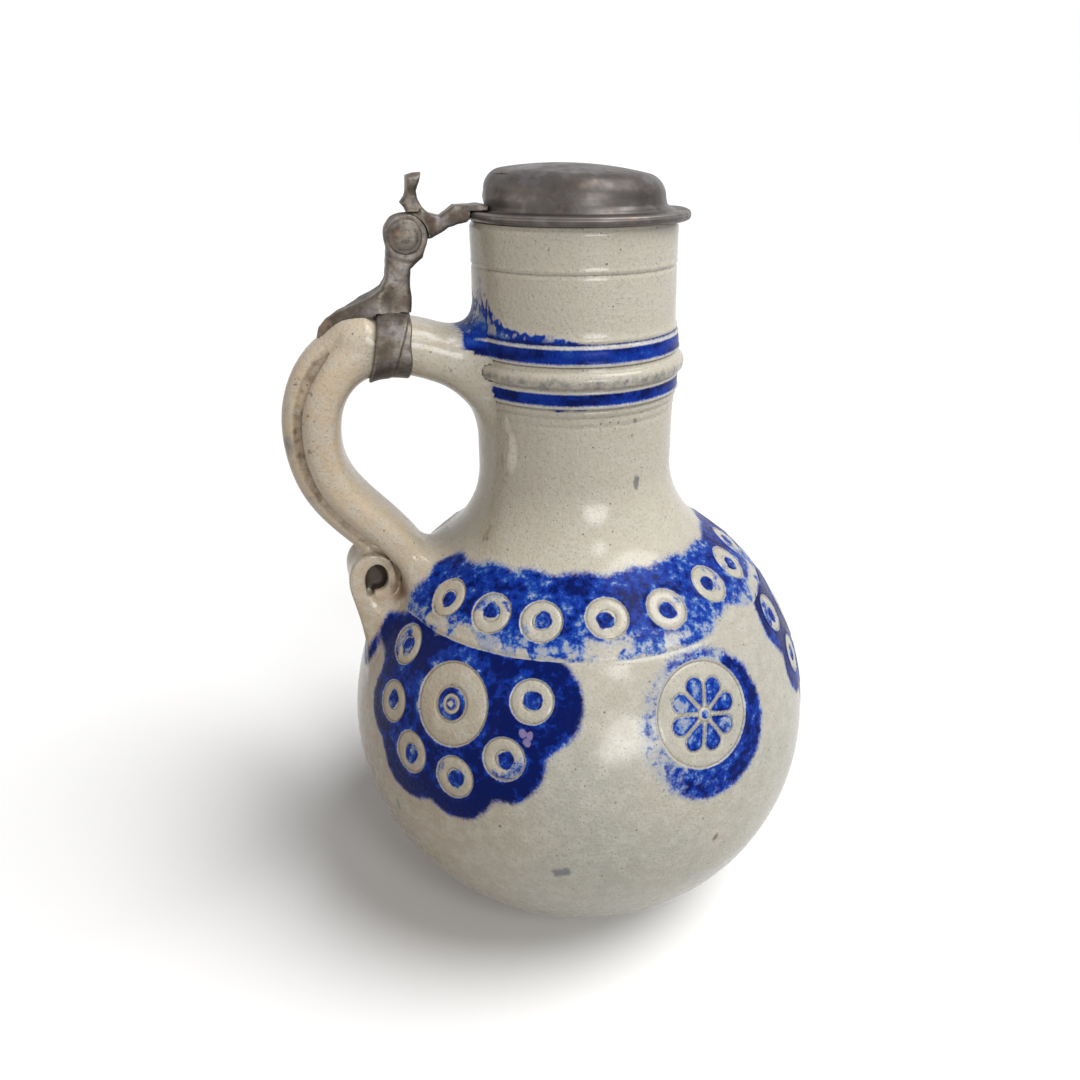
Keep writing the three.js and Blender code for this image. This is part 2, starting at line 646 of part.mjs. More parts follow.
// The thumbpiece: a thin upright plate with a spur at its back and a rounded, wider top.
function thumbpiece() {
  const foot = hingeHeight + RING_RADIUS + JOINT_GAP;
  const tip = hingeHeight + THUMB_HEIGHT;
  const middle = (foot + tip) / 2;
  const stem = hingeOut - THUMB_BACK;
  const half = THUMB_THICKNESS / 2;
  const tipOut = stem - THUMB_LEAN;
  const outline = [
    [stem + half + THUMB_LIP, foot],
    [stem - half - THUMB_SPUR, foot],
    [stem - half - THUMB_LIP, foot + THUMB_SPUR],
    [stem - half, middle],
    [tipOut - half, tip - THUMB_ROUND],
    [tipOut - half - THUMB_LIP, tip],
    [tipOut + half + THUMB_LIP, tip - THUMB_LIP],
    [tipOut + half + THUMB_LIP, tip - THUMB_ROUND],
    [stem + half, middle],
    [stem + half + THUMB_SPUR, foot + 2 * THUMB_LIP + THUMB_LEAN],
    [stem + half, foot + THUMB_LIP],
  ];
  const top = THUMB_TOP / 2;
  const front = [
    [THUMB_STEM / 2 + THUMB_LIP, foot - 1],
    [THUMB_STEM / 2, middle],
    [top, tip - 2 * THUMB_ROUND],
    ...arc([top - THUMB_ROUND, tip - THUMB_ROUND], THUMB_ROUND, 0, Math.PI / 2, 4),
  ];
  return sidePlate(outline, THUMB_TOP).intersect(
    frontBlock([...front, ...mirrored(front)], stem - HINGE_WIDTH, stem + HINGE_WIDTH),
  );
}

// Room over a stretch of the handle, between two slanting sides, with a margin.
function strapSlab(margin) {
  const high = hingeHeight - RING_RADIUS;
  const low = high - STRAP_SPAN;
  const middle = hingeOut + STRAP_OUT;
  const side = (sign, shift, width) => middle + shift + sign * (width / 2 + margin);
  const outline = [
    [side(-1, 0, STRAP_TOP_WIDTH), high],
    [side(-1, STRAP_SLANT, STRAP_BOTTOM_WIDTH), low],
    [side(1, STRAP_SLANT, STRAP_BOTTOM_WIDTH), low],
    [side(1, 0, STRAP_TOP_WIDTH), high],
  ];
  return sidePlate(outline, 2 * HANDLE_WIDTH);
}

// The strap: a band bent around the handle.
function handleStrap() {
  return handleBar(JOINT_GAP + STRAP_THICKNESS).subtract(handleBar(JOINT_GAP)).intersect(strapSlab(0));
}

// The top of the bracket's tail, following the handle from the shank out to the tip.
function tailTop(start, tip) {
  const top = [];
  for (const { point, outward } of handleStations()) {
    if (point.y < reachHeight) continue;
    const skin = point.clone().addScaledVector(outward, HANDLE_THICKNESS / 2);
    const share = (skin.x - start) / (tip - start);
    if (share < 0.1 || share > 1) continue;
    skin.addScaledVector(outward, mix(TAIL_THICKNESS, TAIL_TIP, share));
    top.push([skin.x, skin.y]);
  }
  return top;
}

// The bracket: three rings, a shank, a saddle on the strap, and a tail that lies along the handle.
function hingeBracket() {
  const inner = hingeOut + SHANK_OUT - SHANK_THICKNESS / 2;
  const outer = inner + SHANK_THICKNESS;
  const tip = hingeOut + TAIL_REACH;
  const top = tailTop(outer, tip);
  const [tipOut, tipHeight] = top[top.length - 1];
  const deep = handleMiddle(inner);
  const half = HINGE_WIDTH / 2;
  const outline = [
    [hingeOut - RING_RADIUS, hingeHeight],
    [hingeOut - RING_RADIUS / 2, hingeHeight - RING_RADIUS],
    [inner, hingeHeight - BOSS_DROP],
    [inner, deep],
    [tipOut, deep],
    [tipOut + TAIL_TIP, tipHeight - TAIL_TIP],
    ...top.reverse(),
    [outer + TAIL_FILLET / 4, top[top.length - 1][1] + TAIL_FILLET],
    [outer, hingeHeight - RING_RADIUS / 2],
    [hingeOut, hingeHeight],
  ];
  const plan = [
    [hingeOut - RING_RADIUS, -half],
    [outer, -half],
    [outer + TAIL_FILLET, -TAIL_WIDTH / 2],
    [tipOut, -TAIL_TIP_WIDTH / 2],
    [tipOut + TAIL_TIP, -TAIL_TIP_WIDTH / 4],
  ];
  const casting = sidePlate(outline, 2 * TAIL_WIDTH).intersect(
    planBlock([...plan, ...mirroredPlan(plan)], deep - 1, hingeHeight + RING_RADIUS),
  );
  const strapRoom = handleBar(2 * JOINT_GAP + STRAP_THICKNESS).intersect(strapSlab(JOINT_GAP));
  return casting
    .add(hingeBar(RING_RADIUS, -half, half))
    .subtract(ringRoom(1))
    .subtract(handleBar(JOINT_GAP))
    .subtract(strapRoom);
}

// The height of the handle's centre line at a distance out, on the arch.
function handleMiddle(out) {
  const away = ({ point }) => Math.abs(point.x - out);
  const stations = handleStations().filter(({ point }) => point.y > reachHeight);
  return stations.reduce((best, station) => (away(station) < away(best) ? station : best)).point.y;
}

function hingePin() {
  return hingeBar(PIN_RADIUS, -HINGE_WIDTH / 2, HINGE_WIDTH / 2);
}

// A domed cap on the end of the pin, on the side of the sign.
function pinCap(side) {
  const dome = arc([0, CAP_EDGE], CAP_RADIUS, 0.3, Math.PI / 2, 4, CAP_DOME).slice(0, -1);
  const profile = [[0, 0], [CAP_RADIUS, 0], [CAP_RADIUS, CAP_EDGE], ...dome, [0, CAP_EDGE + CAP_DOME]];
  const points = profile.map(([radius, height]) => new THREE.Vector2(radius, height));
  const geometry = new THREE.LatheGeometry(points, SMALL_SIDES);
  if (side < 0) geometry.rotateX(Math.PI);
  return solidOf(geometry.translate(-hingeOut, side * (HINGE_WIDTH / 2 + JOINT_GAP), hingeHeight));
}

const stoneware = new THREE.MeshStandardMaterial({ color: 0xb9b09c, roughness: 0.35, metalness: 0 });
const pewter = new THREE.MeshStandardMaterial({ color: 0x5a544c, roughness: 0.5, metalness: 0.8 });
const mountPewter = new THREE.MeshStandardMaterial({ color: 0x6b6154, roughness: 0.6, metalness: 0.7 });

const jug = new THREE.Group();
const lidGroup = new THREE.Group();
jug.add(
  meshOf("jug_body", jugBody(), stoneware),
  meshOf("jug_handle", jugHandle(), stoneware),
  meshOf("handle_strap", handleStrap(), mountPewter),
  meshOf("hinge_bracket", hingeBracket(), mountPewter),
  meshOf("hinge_pin", hingePin(), mountPewter),
  meshOf("pin_cap_near", pinCap(-1), mountPewter),
  meshOf("pin_cap_far", pinCap(1), mountPewter),
);
lidGroup.add(
  meshOf("lid", lid(), pewter),
  meshOf("lid_tang", lidTang(), mountPewter),
  meshOf("thumbpiece", thumbpiece(), mountPewter),
);
jug.add(lidGroup);

export default jug;
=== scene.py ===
"""The looks of a lidded stoneware jug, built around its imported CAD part.

Lengths in this file are millimetres and become metres where meshes are made. The jug's axis is Z,
the handle points along -X and the hinge's axis runs along Y. A turn is an angle around the axis in
degrees, 0 towards -Y and 90 towards +X. Out is a distance from the axis towards the handle.
"""

from __future__ import annotations

import logging
import math
from dataclasses import dataclass, field
from enum import Enum
from typing import Callable, Sequence

import bpy
import numpy as np
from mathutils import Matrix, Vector

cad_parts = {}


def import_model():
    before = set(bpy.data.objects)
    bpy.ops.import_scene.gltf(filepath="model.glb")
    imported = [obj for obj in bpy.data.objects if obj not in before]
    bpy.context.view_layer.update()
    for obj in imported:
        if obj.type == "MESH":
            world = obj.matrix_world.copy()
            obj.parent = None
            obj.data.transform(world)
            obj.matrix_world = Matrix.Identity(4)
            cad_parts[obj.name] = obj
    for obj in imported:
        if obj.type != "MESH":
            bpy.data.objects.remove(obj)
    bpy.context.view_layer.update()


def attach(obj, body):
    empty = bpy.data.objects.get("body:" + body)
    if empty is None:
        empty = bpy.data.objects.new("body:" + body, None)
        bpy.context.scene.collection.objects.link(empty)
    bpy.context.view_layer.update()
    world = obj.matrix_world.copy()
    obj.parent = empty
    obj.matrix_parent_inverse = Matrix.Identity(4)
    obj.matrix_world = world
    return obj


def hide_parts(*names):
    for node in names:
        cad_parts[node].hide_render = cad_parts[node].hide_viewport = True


log = logging.getLogger("jug")

MM = 0.001
FAR = 99.0

Array = np.ndarray
Pair = tuple[float, float]
Triple = tuple[float, float, float]
Colour = Triple
Outline = Sequence[Sequence[float]]


def smooth(value: Array, low: float, high: float) -> Array:
    """Runs from 0 at low to 1 at high along an S-shaped curve; high may be the smaller one."""
    share = np.clip((value - low) / (high - low), 0.0, 1.0)
    return share * share * (3.0 - 2.0 * share)


@dataclass(frozen=True)
class Step:
    """A size that starts at low and has grown to its full height at high, S-shaped between them."""

    low: float
    high: float
    height: float = 1.0

    def at(self, value: Array) -> Array:
        """The size at some values."""
        return self.height * smooth(value, self.low, self.high)


def bell(distance: Array, width: float) -> Array:
    """A hump of 1 at distance 0 that has nearly gone at twice the width: exp of minus its square."""
    return np.exp(-((distance / width) ** 2))


@dataclass(frozen=True)
class Hump:
    """A bell-shaped size with its full height at the middle."""

    middle: float
    width: float
    height: float = 1.0

    def at(self, value: Array) -> Array:
        """The size at some values."""
        return self.height * bell(value - self.middle, self.width)


def blend_min(first: Array, second: Array, reach: float) -> Array:
    """The smaller distance, less reach / 4 times the square of max(0, 1 - |difference| / reach)."""
    near = np.maximum(reach - np.abs(first - second), 0.0) / reach
    return np.minimum(first, second) - near * near * reach / 4.0


def blend_max(first: Array, second: Array, reach: float) -> Array:
    """The larger of two distances with a rounded edge of the given reach."""
    return -blend_min(-first, -second, reach)


def heading(turn: float) -> Array:
    """The level direction of a turn, as its x and y."""
    angle = math.radians(turn)
    return np.array([math.sin(angle), -math.cos(angle)])


def turns_of(x: Array, y: Array) -> Array:
    """The turns of places in degrees."""
    return np.degrees(np.arctan2(x, -y))


def apart(turn: Array, other: float) -> Array:
    """How far turns lie from another one, between -180 and 180 degrees."""
    return (turn - other + 180.0) % 360.0 - 180.0


class Noise:
    """Smooth random values in space that are the same on every run."""

    PERIOD = 32

    def __init__(self, seed: int) -> None:
        """Fills the lattice."""
        self.table = np.random.default_rng(seed).random((self.PERIOD,) * 3)

    def at(self, x: Array, y: Array, z: Array, size: float) -> Array:
        """Values between -1 and 1, mixed from the eight nearest corners of a random lattice.

        Args:
            x: first coordinates.
            y: second coordinates.
            z: third coordinates.
            size: edge length of the lattice.
        Returns:
            One value per place.
        """
        scaled = [np.asarray(axis) / size for axis in (x, y, z)]
        cells = [np.floor(axis).astype(int) for axis in scaled]
        eased = [smooth(axis - cell, 0.0, 1.0) for axis, cell in zip(scaled, cells)]
        total = 0.0
        for corner in np.ndindex(2, 2, 2):
            weight = 1.0
            index = []
            for axis, step in enumerate(corner):
                weight = weight * (eased[axis] if step else 1.0 - eased[axis])
                index.append((cells[axis] + step) % self.PERIOD)
            total = total + weight * self.table[tuple(index)]
        return total * 2.0 - 1.0

    def layered(self, x: Array, y: Array, z: Array, size: float, layers: int = 3) -> Array:
        """Sums layers of half the size and half the strength each."""
        total = 0.0
        for layer in range(layers):
            total = total + self.at(x, y, z, size / 2**layer) / 2**layer
        return total / (2.0 - 0.5 ** (layers - 1))


class Finish(Enum):
    """The record's material slots."""

    STONEWARE = "stoneware"
    LID_PEWTER = "lid_pewter"
    MOUNT_PEWTER = "mount_pewter"


@dataclass
class Surface:
    """A mesh in millimetres with the values that its material reads."""

    name: str
    points: Array
    faces: Array
    paint: dict[str, Array] = field(default_factory=dict)

    def to_object(self, material: bpy.types.Material) -> bpy.types.Object:
        """Makes the Blender object, smooth shaded and with one attribute per painted value.

        Args:
            material: the material of all faces.
        Returns:
            The object, linked to the scene.
        """
        mesh = bpy.data.meshes.new(self.name)
        corners = self.faces.shape[1]
        mesh.vertices.add(len(self.points))
        mesh.vertices.foreach_set("co", (self.points * MM).astype(np.float32).ravel())
        mesh.loops.add(self.faces.size)
        mesh.loops.foreach_set("vertex_index", self.faces.astype(np.int32).ravel())
        mesh.polygons.add(len(self.faces))
        mesh.polygons.foreach_set("loop_start", np.arange(0, self.faces.size, corners, dtype=np.int32))
        mesh.update(calc_edges=True)
        mesh.shade_smooth()
        for key, values in self.paint.items():
            attribute = mesh.attributes.new(key, "FLOAT", "POINT")
            attribute.data.foreach_set("value", values.astype(np.float32).ravel())
        mesh.materials.append(material)
        made = bpy.data.objects.new(self.name, mesh)
        bpy.context.collection.objects.link(made)
        log.info("%s: %d faces", self.name, len(self.faces))
        return made

    def normals(self) -> Array:
        """Unit normals of the points, from the sum of their faces' normals."""
        corner = self.points[self.faces]
        face = np.cross(corner[:, 2] - corner[:, 0], corner[:, -1] - corner[:, 1])
        total = np.zeros_like(self.points)
        for place in range(self.faces.shape[1]):
            np.add.at(total, self.faces[:, place], face)
        return total / np.maximum(np.linalg.norm(total, axis=1), 1e-9)[:, None]

    def hollows(self) -> Array:
        """How far each point lies below the mean of its neighbours, in millimetres, along the normal."""
        starts = self.faces
        ends = np.roll(self.faces, -1, axis=1)
        total = np.zeros_like(self.points)
        count = np.zeros(len(self.points))
        for start, end in ((starts, ends), (ends, starts)):
            np.add.at(total, start.ravel(), self.points[end.ravel()])
            np.add.at(count, start.ravel(), 1.0)
        mean = total / np.maximum(count, 1.0)[:, None]
        return np.einsum("ij,ij->i", mean - self.points, self.normals())

    def wear(self, common: float, dark: Step, bright: Step) -> Surface:
        """Paints how hollow and how worn each place is.

        Args:
            common: the percentage of the places that lie within one unit of hollowness.
            dark: how hollow a place is where its dark line starts and is full, in such units.
            bright: how proud a place is where its worn edge starts and is full.
        Returns:
            The surface itself.
        """
        hollow = self.hollows()
        scale = float(np.percentile(np.abs(hollow), common)) + 1e-6
        self.paint["line"] = smooth(hollow, dark.low * scale, dark.high * scale)
        self.paint["worn"] = smooth(-hollow, bright.low * scale, bright.high * scale)
        return self


def lathe(name: str, outline: Array, sides: int) -> Surface:
    """Turns an outline of [radius, height] points around the jug's axis.

    Formula: x = radius times the turn's sine, y = minus radius times its cosine, z = height.

    Args:
        name: the surface's name.
        outline: the points, ordered so that the outside lies to the right when walking along it.
        sides: number of columns.
    Returns:
        The surface, closed around the axis.
    """
    angle = np.linspace(0.0, 2 * math.pi, sides, endpoint=False)
    radius, height = outline.T[:, :, None]
    grid = np.broadcast_arrays(radius * np.sin(angle), -radius * np.cos(angle), height)
    points = np.stack(grid, axis=2).reshape(-1, 3)
    start = np.arange(len(outline) - 1)[:, None] * sides
    column = np.arange(sides)
    after = (column + 1) % sides
    ring = [start + column, start + after, start + sides + after, start + sides + column]
    return Surface(name, points, np.stack(ring, axis=2).reshape(-1, 4))


@dataclass(frozen=True)
class Grid:
    """A box of evenly spaced places for a field of signed distances."""

    low: Triple
    high: Triple
    pitch: float

    def axes(self) -> tuple[Array, Array, Array]:
        """The coordinates along X, Y and Z, shaped to combine with each other."""
        lines = [np.arange(a, b + self.pitch, self.pitch) for a, b in zip(self.low, self.high)]
        return lines[0][:, None, None], lines[1][None, :, None], lines[2][None, None, :]

    def surface(self, name: str, values: Array, keep: Callable[[Array], Array] | None = None) -> Surface:
        """Draws the surface where the values pass through zero, by naive surface nets.

        Each cell that the surface crosses gets one point, the mean of the crossings on its twelve
        edges, and each grid edge that it crosses gets one quad between the four cells around it.

        Args:
            name: the surface's name.
            values: signed distances, negative inside.
            keep: gives for points whether the surface stays there.
        Returns:
            The surface.
        """
        inside = values < 0.0
        count = np.zeros(tuple(size - 1 for size in values.shape), dtype=np.int8)
        for corner in np.ndindex(2, 2, 2):
            count += self._corner(inside, corner).astype(np.int8)
        cells = np.argwhere((count > 0) & (count < 8))
        index = np.full(count.shape, -1)
        index[tuple(cells.T)] = np.arange(len(cells))
        points = np.array(self.low) + self.pitch * (cells + self._crossings(values, cells))
        faces = np.concatenate([self._quads(inside, index, axis) for axis in range(3)])
        if keep is not None:
            kept = keep(points)
            faces = faces[kept[faces].all(axis=1)]
        used = np.unique(faces)
        renumber = np.zeros(len(points), dtype=int)
        renumber[used] = np.arange(len(used))
        return Surface(name, points[used], renumber[faces])

    @staticmethod
    def _corner(values: Array, corner: Sequence[int]) -> Array:
        """The values at one corner of every cell."""
        return values[tuple(slice(step, size - 1 + step) for step, size in zip(corner, values.shape))]

    @staticmethod
    def _crossings(values: Array, cells: Array) -> Array:
        """The mean place in each cell where its edges pass through zero, as shares of the pitch."""
        total = np.zeros((len(cells), 3))
        crossings = np.zeros(len(cells))
        for corner in np.ndindex(2, 2, 2):
            start = values[tuple((cells + corner).T)]
            for axis, step in enumerate(np.eye(3, dtype=int)):
                if corner[axis]:
                    continue
                end = values[tuple((cells + corner + step).T)]
                crossed = (start < 0.0) != (end < 0.0)
                share = np.where(crossed, start / np.where(crossed, start - end, 1.0), 0.0)
                place = np.array(corner) + share[:, None] * step
                total += np.where(crossed[:, None], place, 0.0)
                crossings += crossed
        return total / crossings[:, None]

    @staticmethod
    def _quads(inside: Array, index: Array, axis: int) -> Array:
        """Quads across the grid edges along an axis, facing away from the inside."""
        first = np.moveaxis(inside, axis, 0)
        cell = np.moveaxis(index, axis, 0)
        leaving = first[:-1] & ~first[1:]
        entering = ~first[:-1] & first[1:]
        found = []
        for mask, outward in ((leaving, True), (entering, False)):
            i, j, k = np.nonzero(mask[:, 1:-1, 1:-1])
            ring = [cell[i, j, k], cell[i, j + 1, k], cell[i, j + 1, k + 1], cell[i, j, k + 1]]
            if (axis == 1) == outward:
                ring.reverse()
            found.append(np.stack(ring, axis=1))
        return np.concatenate(found)


class Curve:
    """A line in the handle's plane, given by [out, height] points of Bezier sweeps."""

    CHUNK = 20000

    def __init__(self, sweeps: Sequence[Outline], steps: int = 120) -> None:
        """Samples the sweeps in steps and spaces the points evenly along the line."""
        share = np.linspace(0.0, 1.0, steps)[:, None]
        rest = 1.0 - share
        lines = []
        for a, b, c, d in np.array(sweeps, dtype=float):
            lines.append(rest**3 * a + 3 * rest**2 * share * b + 3 * rest * share**2 * c + share**3 * d)
        points = np.concatenate([line[int(i > 0) :] for i, line in enumerate(lines)])
        lengths = np.concatenate([[0.0], np.cumsum(np.linalg.norm(np.diff(points, axis=0), axis=1))])
        self.along = np.linspace(0.0, lengths[-1], steps * len(lines))
        self.points = np.stack([np.interp(self.along, lengths, points[:, k]) for k in range(2)], axis=1)
        tangent = np.gradient(self.points, axis=0)
        self.tangent = tangent / np.linalg.norm(tangent, axis=1)[:, None]
        self.length = float(self.along[-1])

    def measure(self, out: Array, height: Array) -> tuple[Array, Array, Array]:
        """Where places lie beside the line.

        Args:
            out: distances from the jug's axis towards the handle.
            height: heights, of a shape that combines with out.
        Returns:
            The distance to the left of the line, the length along it, and how far past its ends.
        """
        out, height = np.broadcast_arrays(out, height)
        flat = np.stack([out.ravel(), height.ravel()], axis=1)
        nearest = np.empty(len(flat), dtype=int)
        for start in range(0, len(flat), self.CHUNK):
            part = flat[start : start + self.CHUNK]
            gap = ((part[:, None] - self.points[None]) ** 2).sum(axis=2)
            nearest[start : start + self.CHUNK] = gap.argmin(axis=1)
        away = flat - self.points[nearest]
        tangent = self.tangent[nearest]
        beside = tangent[:, 0] * away[:, 1] - tangent[:, 1] * away[:, 0]
        ahead = (away * tangent).sum(axis=1)
        last = len(self.points) - 1
        past = np.where(nearest == last, ahead, np.where(nearest == 0, -ahead, -1.0))
        return tuple(v.reshape(out.shape) for v in (beside, self.along[nearest], past))


class Stamp(Enum):
    """The kinds of marks pressed into the belly."""

    RING = "ring"
    TARGET = "target"
    ROSETTE = "rosette"


@dataclass(frozen=True)
class Die:
    """The relief of one kind of stamp.

    Its rim's line lies a distance inside the radius, its ring lines at shares of the radius, and
    its face swells around a share of the radius.
    """

    rim: float
    rim_width: float
    rings: tuple[float, ...]
    ring_width: float
    swell: float = 0.0
    swell_at: float = 0.65


@dataclass(frozen=True)
class Mark:
    """A stamped mark: its kind, turn and latitude in degrees, radius, smear's turn and blue veil."""

    kind: Stamp
    turn: float
    latitude: float
    radius: float
    smear: float = 0.0
    veil: float = 0.15


@dataclass(frozen=True)
class Patch:
    """A disc of blue glaze on the belly."""

    turn: float
    latitude: float
    radius: float


@dataclass(frozen=True)
class Belly:
    """The round part, as in the CAD part: a ball over its widest circle and an ellipse under it."""

    radius: float = 82.6
    height: float = 70.5
    depth: float = 77.0
    line_height: float = 122.7
    near_side: float = 0.7

    def local(self, spot: Mark | Patch, points: Array) -> tuple[Array, Array, Array]:
        """Places on the belly seen from a spot's centre.

        Args:
            spot: the mark or patch.
            points: places in millimetres.
        Returns:
            Distance to the right, distance upwards, and whether the place is on the spot's side.
        """
        latitude = math.radians(spot.latitude)
        x, y = heading(spot.turn)
        out = np.array([x * math.cos(latitude), y * math.cos(latitude), math.sin(latitude)])
        right = np.array([-y, x, 0.0])
        up = np.cross(out, right)
        ray = points - np.array([0.0, 0.0, self.height])
        ray = ray / np.linalg.norm(ray, axis=1)[:, None]
        return self.radius * ray @ right, self.radius * ray @ up, ray @ out > self.near_side

    def patch_distance(self, patch: Patch, points: Array) -> Array:
        """Signed distance from a patch's edge, negative inside, large on the jug's far side."""
        right, up, near = self.local(patch, points)
        return np.where(near, np.hypot(right, up) - patch.radius, FAR)


@dataclass
class Decoration:
    """The marks pressed into the belly and the blue painted around them.

    The visible marks of the garland stand where they were read, and the hidden ones follow at even
    steps. A target is the middle of a group of rings, given by their turns from it, latitudes and
    the radii of the blue around them.
    """

    belly: Belly = Belly()
    handle_turn: float = -90.0
    garland_places: Outline = (
        (-61.5, 47.1), (-42.8, 47.4), (-25.7, 47.5), (-4.9, 48.4), (15.8, 48.3), (38.0, 49.6),
    )
    garland_veils: tuple[float, ...] = (0.25, 0.7, 0.45, 0.1, 0.3, 0.7)
    garland_step: float = 20.0
    garland_count: int = 16
    garland_top: float = 140.9
    garland_gaps: Pair = (11.0, 31.0)
    lobe_rise: float = 1.1
    lobes: Pair = (9.0, 20.0)
    top_drop: Step = Step(-45.0, -70.0, 1.8)
    rosette_rise: Hump = Hump(21.0, 9.0, 4.4)
    ring_radius: float = 7.0
    target_radius: float = 13.2
    target_latitude: float = 26.5
    target_turns: tuple[float, ...] = (-45.8, 80.2, 206.2)
    target_patch: Pair = (1.4, 21.0)
    group: Outline = (
        (-21.2, 33.4, 12.3), (-18.6, 20.5, 13.0), (-9.0, 12.5, 14.6),
        (3.9, 11.4, 13.2), (15.3, 18.1, 12.6), (20.5, 30.7, 15.6),
    )
    group_veils: tuple[float, ...] = (0.75, 0.2, 0.4, 0.3, 0.6, 0.1)
    group_drop: float = 0.7
    foot_patches: tuple[Patch, ...] = (Patch(-88.0, 26.0, 10.5), Patch(-77.0, 33.0, 6.0))
    rosette_radius: float = 16.8
    rosette_latitude: float = 24.5
    rosette_turns: tuple[float, ...] = (16.8, 142.8)
    rosette_spin: float = 14.0
    petals: int = 8
    petal_reach: Pair = (0.17, 0.36)
    petal_width: Pair = (0.03, 0.16)
    petal_hollow: Step = Step(0.2, -0.9, 0.22)
    petal_line: float = 0.36
    face_hollow: float = 0.15
    halo: Patch = Patch(0.6, -2.5, 23.6)
    line_depth: float = 0.42
    rim_swell: Hump = Hump(0.1, 0.6, 0.2)
    edge: Step = Step(2.0, -2.0)

    DIES = {
        Stamp.RING: Die(0.6, 0.33, (0.4, 0.17), 0.26, 0.18, 0.65),
        Stamp.TARGET: Die(0.7, 0.33, (0.43, 0.38, 0.24, 0.15), 0.28, 0.2, 0.68),
        Stamp.ROSETTE: Die(0.7, 0.36, (0.13,), 0.28),
    }

    def __post_init__(self) -> None:
        """Lays out the marks and the blue patches around them."""
        self.noise = Noise(7)
        chance = np.random.default_rng(5)
        turn, latitude = self.garland_places[-1]
        unseen = range(1, 1 + self.garland_count - len(self.garland_places))
        places = self.garland_places + tuple((turn + self.garland_step * i, latitude) for i in unseen)
        veils = self.garland_veils * self.garland_count
        marks = [
            Mark(Stamp.RING, *place, self.ring_radius, chance.uniform(0, 360), veil)
            for place, veil in zip(places, veils)
        ]
        self.garland = tuple(marks)
        self.fields = list(self.foot_patches)
        rise, spread = self.target_patch
        for turn in self.target_turns:
            marks.append(Mark(Stamp.TARGET, turn, self.target_latitude, self.target_radius))
            self.fields.append(Patch(turn, self.target_latitude + rise, spread))
            for (side, latitude, reach), veil in zip(self.group, self.group_veils):
                place = (turn + side, latitude, self.ring_radius)
                marks.append(Mark(Stamp.RING, *place, chance.uniform(0, 360), veil))
                self.fields.append(Patch(turn + side, latitude - self.group_drop, reach))
        for turn in self.rosette_turns:
            marks.append(Mark(Stamp.ROSETTE, turn, self.rosette_latitude, self.rosette_radius))
        self.marks = tuple(marks)

    def _petals(self, right: Array, up: Array, radius: float) -> Array:
        """Signed distance from the outlines of the drop-shaped petals.

        Formula: distance from a spine along the petal's middle, less a width that grows outwards.
        """
        distance = np.hypot(right, up)
        share = math.pi / self.petals
        angle = (np.arctan2(up, right) + math.radians(self.rosette_spin)) % (2 * share) - share
        along = distance * np.cos(angle)
        across = distance * np.sin(angle)
        start, length = self.petal_reach
        place = np.clip((along / radius - start) / length, 0.0, 1.0)
        narrow, growth = self.petal_width
        spine = radius * (start + length * place)
        return np.hypot(along - spine, across) - radius * (narrow + growth * place**0.8)

    def relief(self, points: Array) -> tuple[Array, Array]:
        """How the marks shape the clay.

        Args:
            points: places on the plain belly in millimetres.
        Returns:
            The displacement outwards in millimetres, and how deep in an incised line each place is.
        """
        height = np.zeros(len(points))
        line = np.zeros(len(points))
        for mark in self.marks:
            die = self.DIES[mark.kind]
            radius = mark.radius
            right, up, near = self.belly.local(mark, points)
            distance = np.hypot(right, up)
            chosen = near & (distance < radius + 3.0)
            distance = distance[chosen]
            swell = self.rim_swell.at(distance - radius)
            swell += die.swell * bell(distance - die.swell_at * radius, 0.2 * radius)
            cut = bell(distance - radius + die.rim, die.rim_width)
            for share in die.rings:
                cut = np.maximum(cut, bell(distance - share * radius, die.ring_width))
            if mark.kind is Stamp.ROSETTE:
                petal = self._petals(right[chosen], up[chosen], radius)
                cut = np.maximum(cut, bell(petal, self.petal_line))
                swell -= self.petal_hollow.at(petal)
                swell -= self.face_hollow * smooth(distance, radius - 0.4, radius - 1.4)
            height[chosen] += swell - self.line_depth * cut
            line[chosen] = np.maximum(line[chosen], cut)
        return height, line

    def _band(self, points: Array, wander: Array, rough: Array) -> Array:
        """Signed distance from the garland's blue band.

        The band lies between the turned line and a lobed upper edge, rises off the line beside the
        rosettes and ends with round corners at both sides of the handle's foot.

        Args:
            points: places on the belly.
            wander: broad noise there.
            rough: fine noise there.
        Returns:
            The distances in millimetres, negative in the band.
        """
        x, y, z = points.T
        turn = turns_of(x, y)
        pace, start = self.lobes
        top = self.garland_top + self.lobe_rise * np.abs(np.sin(np.radians(pace * turn + start)))
        top = top - self.top_drop.at(turn)
        low = np.full(len(points), self.belly.line_height - 0.3)
        for rosette in self.rosette_turns:
            low = low + self.rosette_rise.at(apart(turn, rosette))
        band = np.maximum(z - top + 0.8 * wander, low - z)
        off_root = apart(turn, self.handle_turn)
        gap = np.where(off_root > 0.0, *self.garland_gaps)
        return blend_max(band, gap - np.abs(off_root) + 0.6 * wander, 8.0) + 0.5 * rough

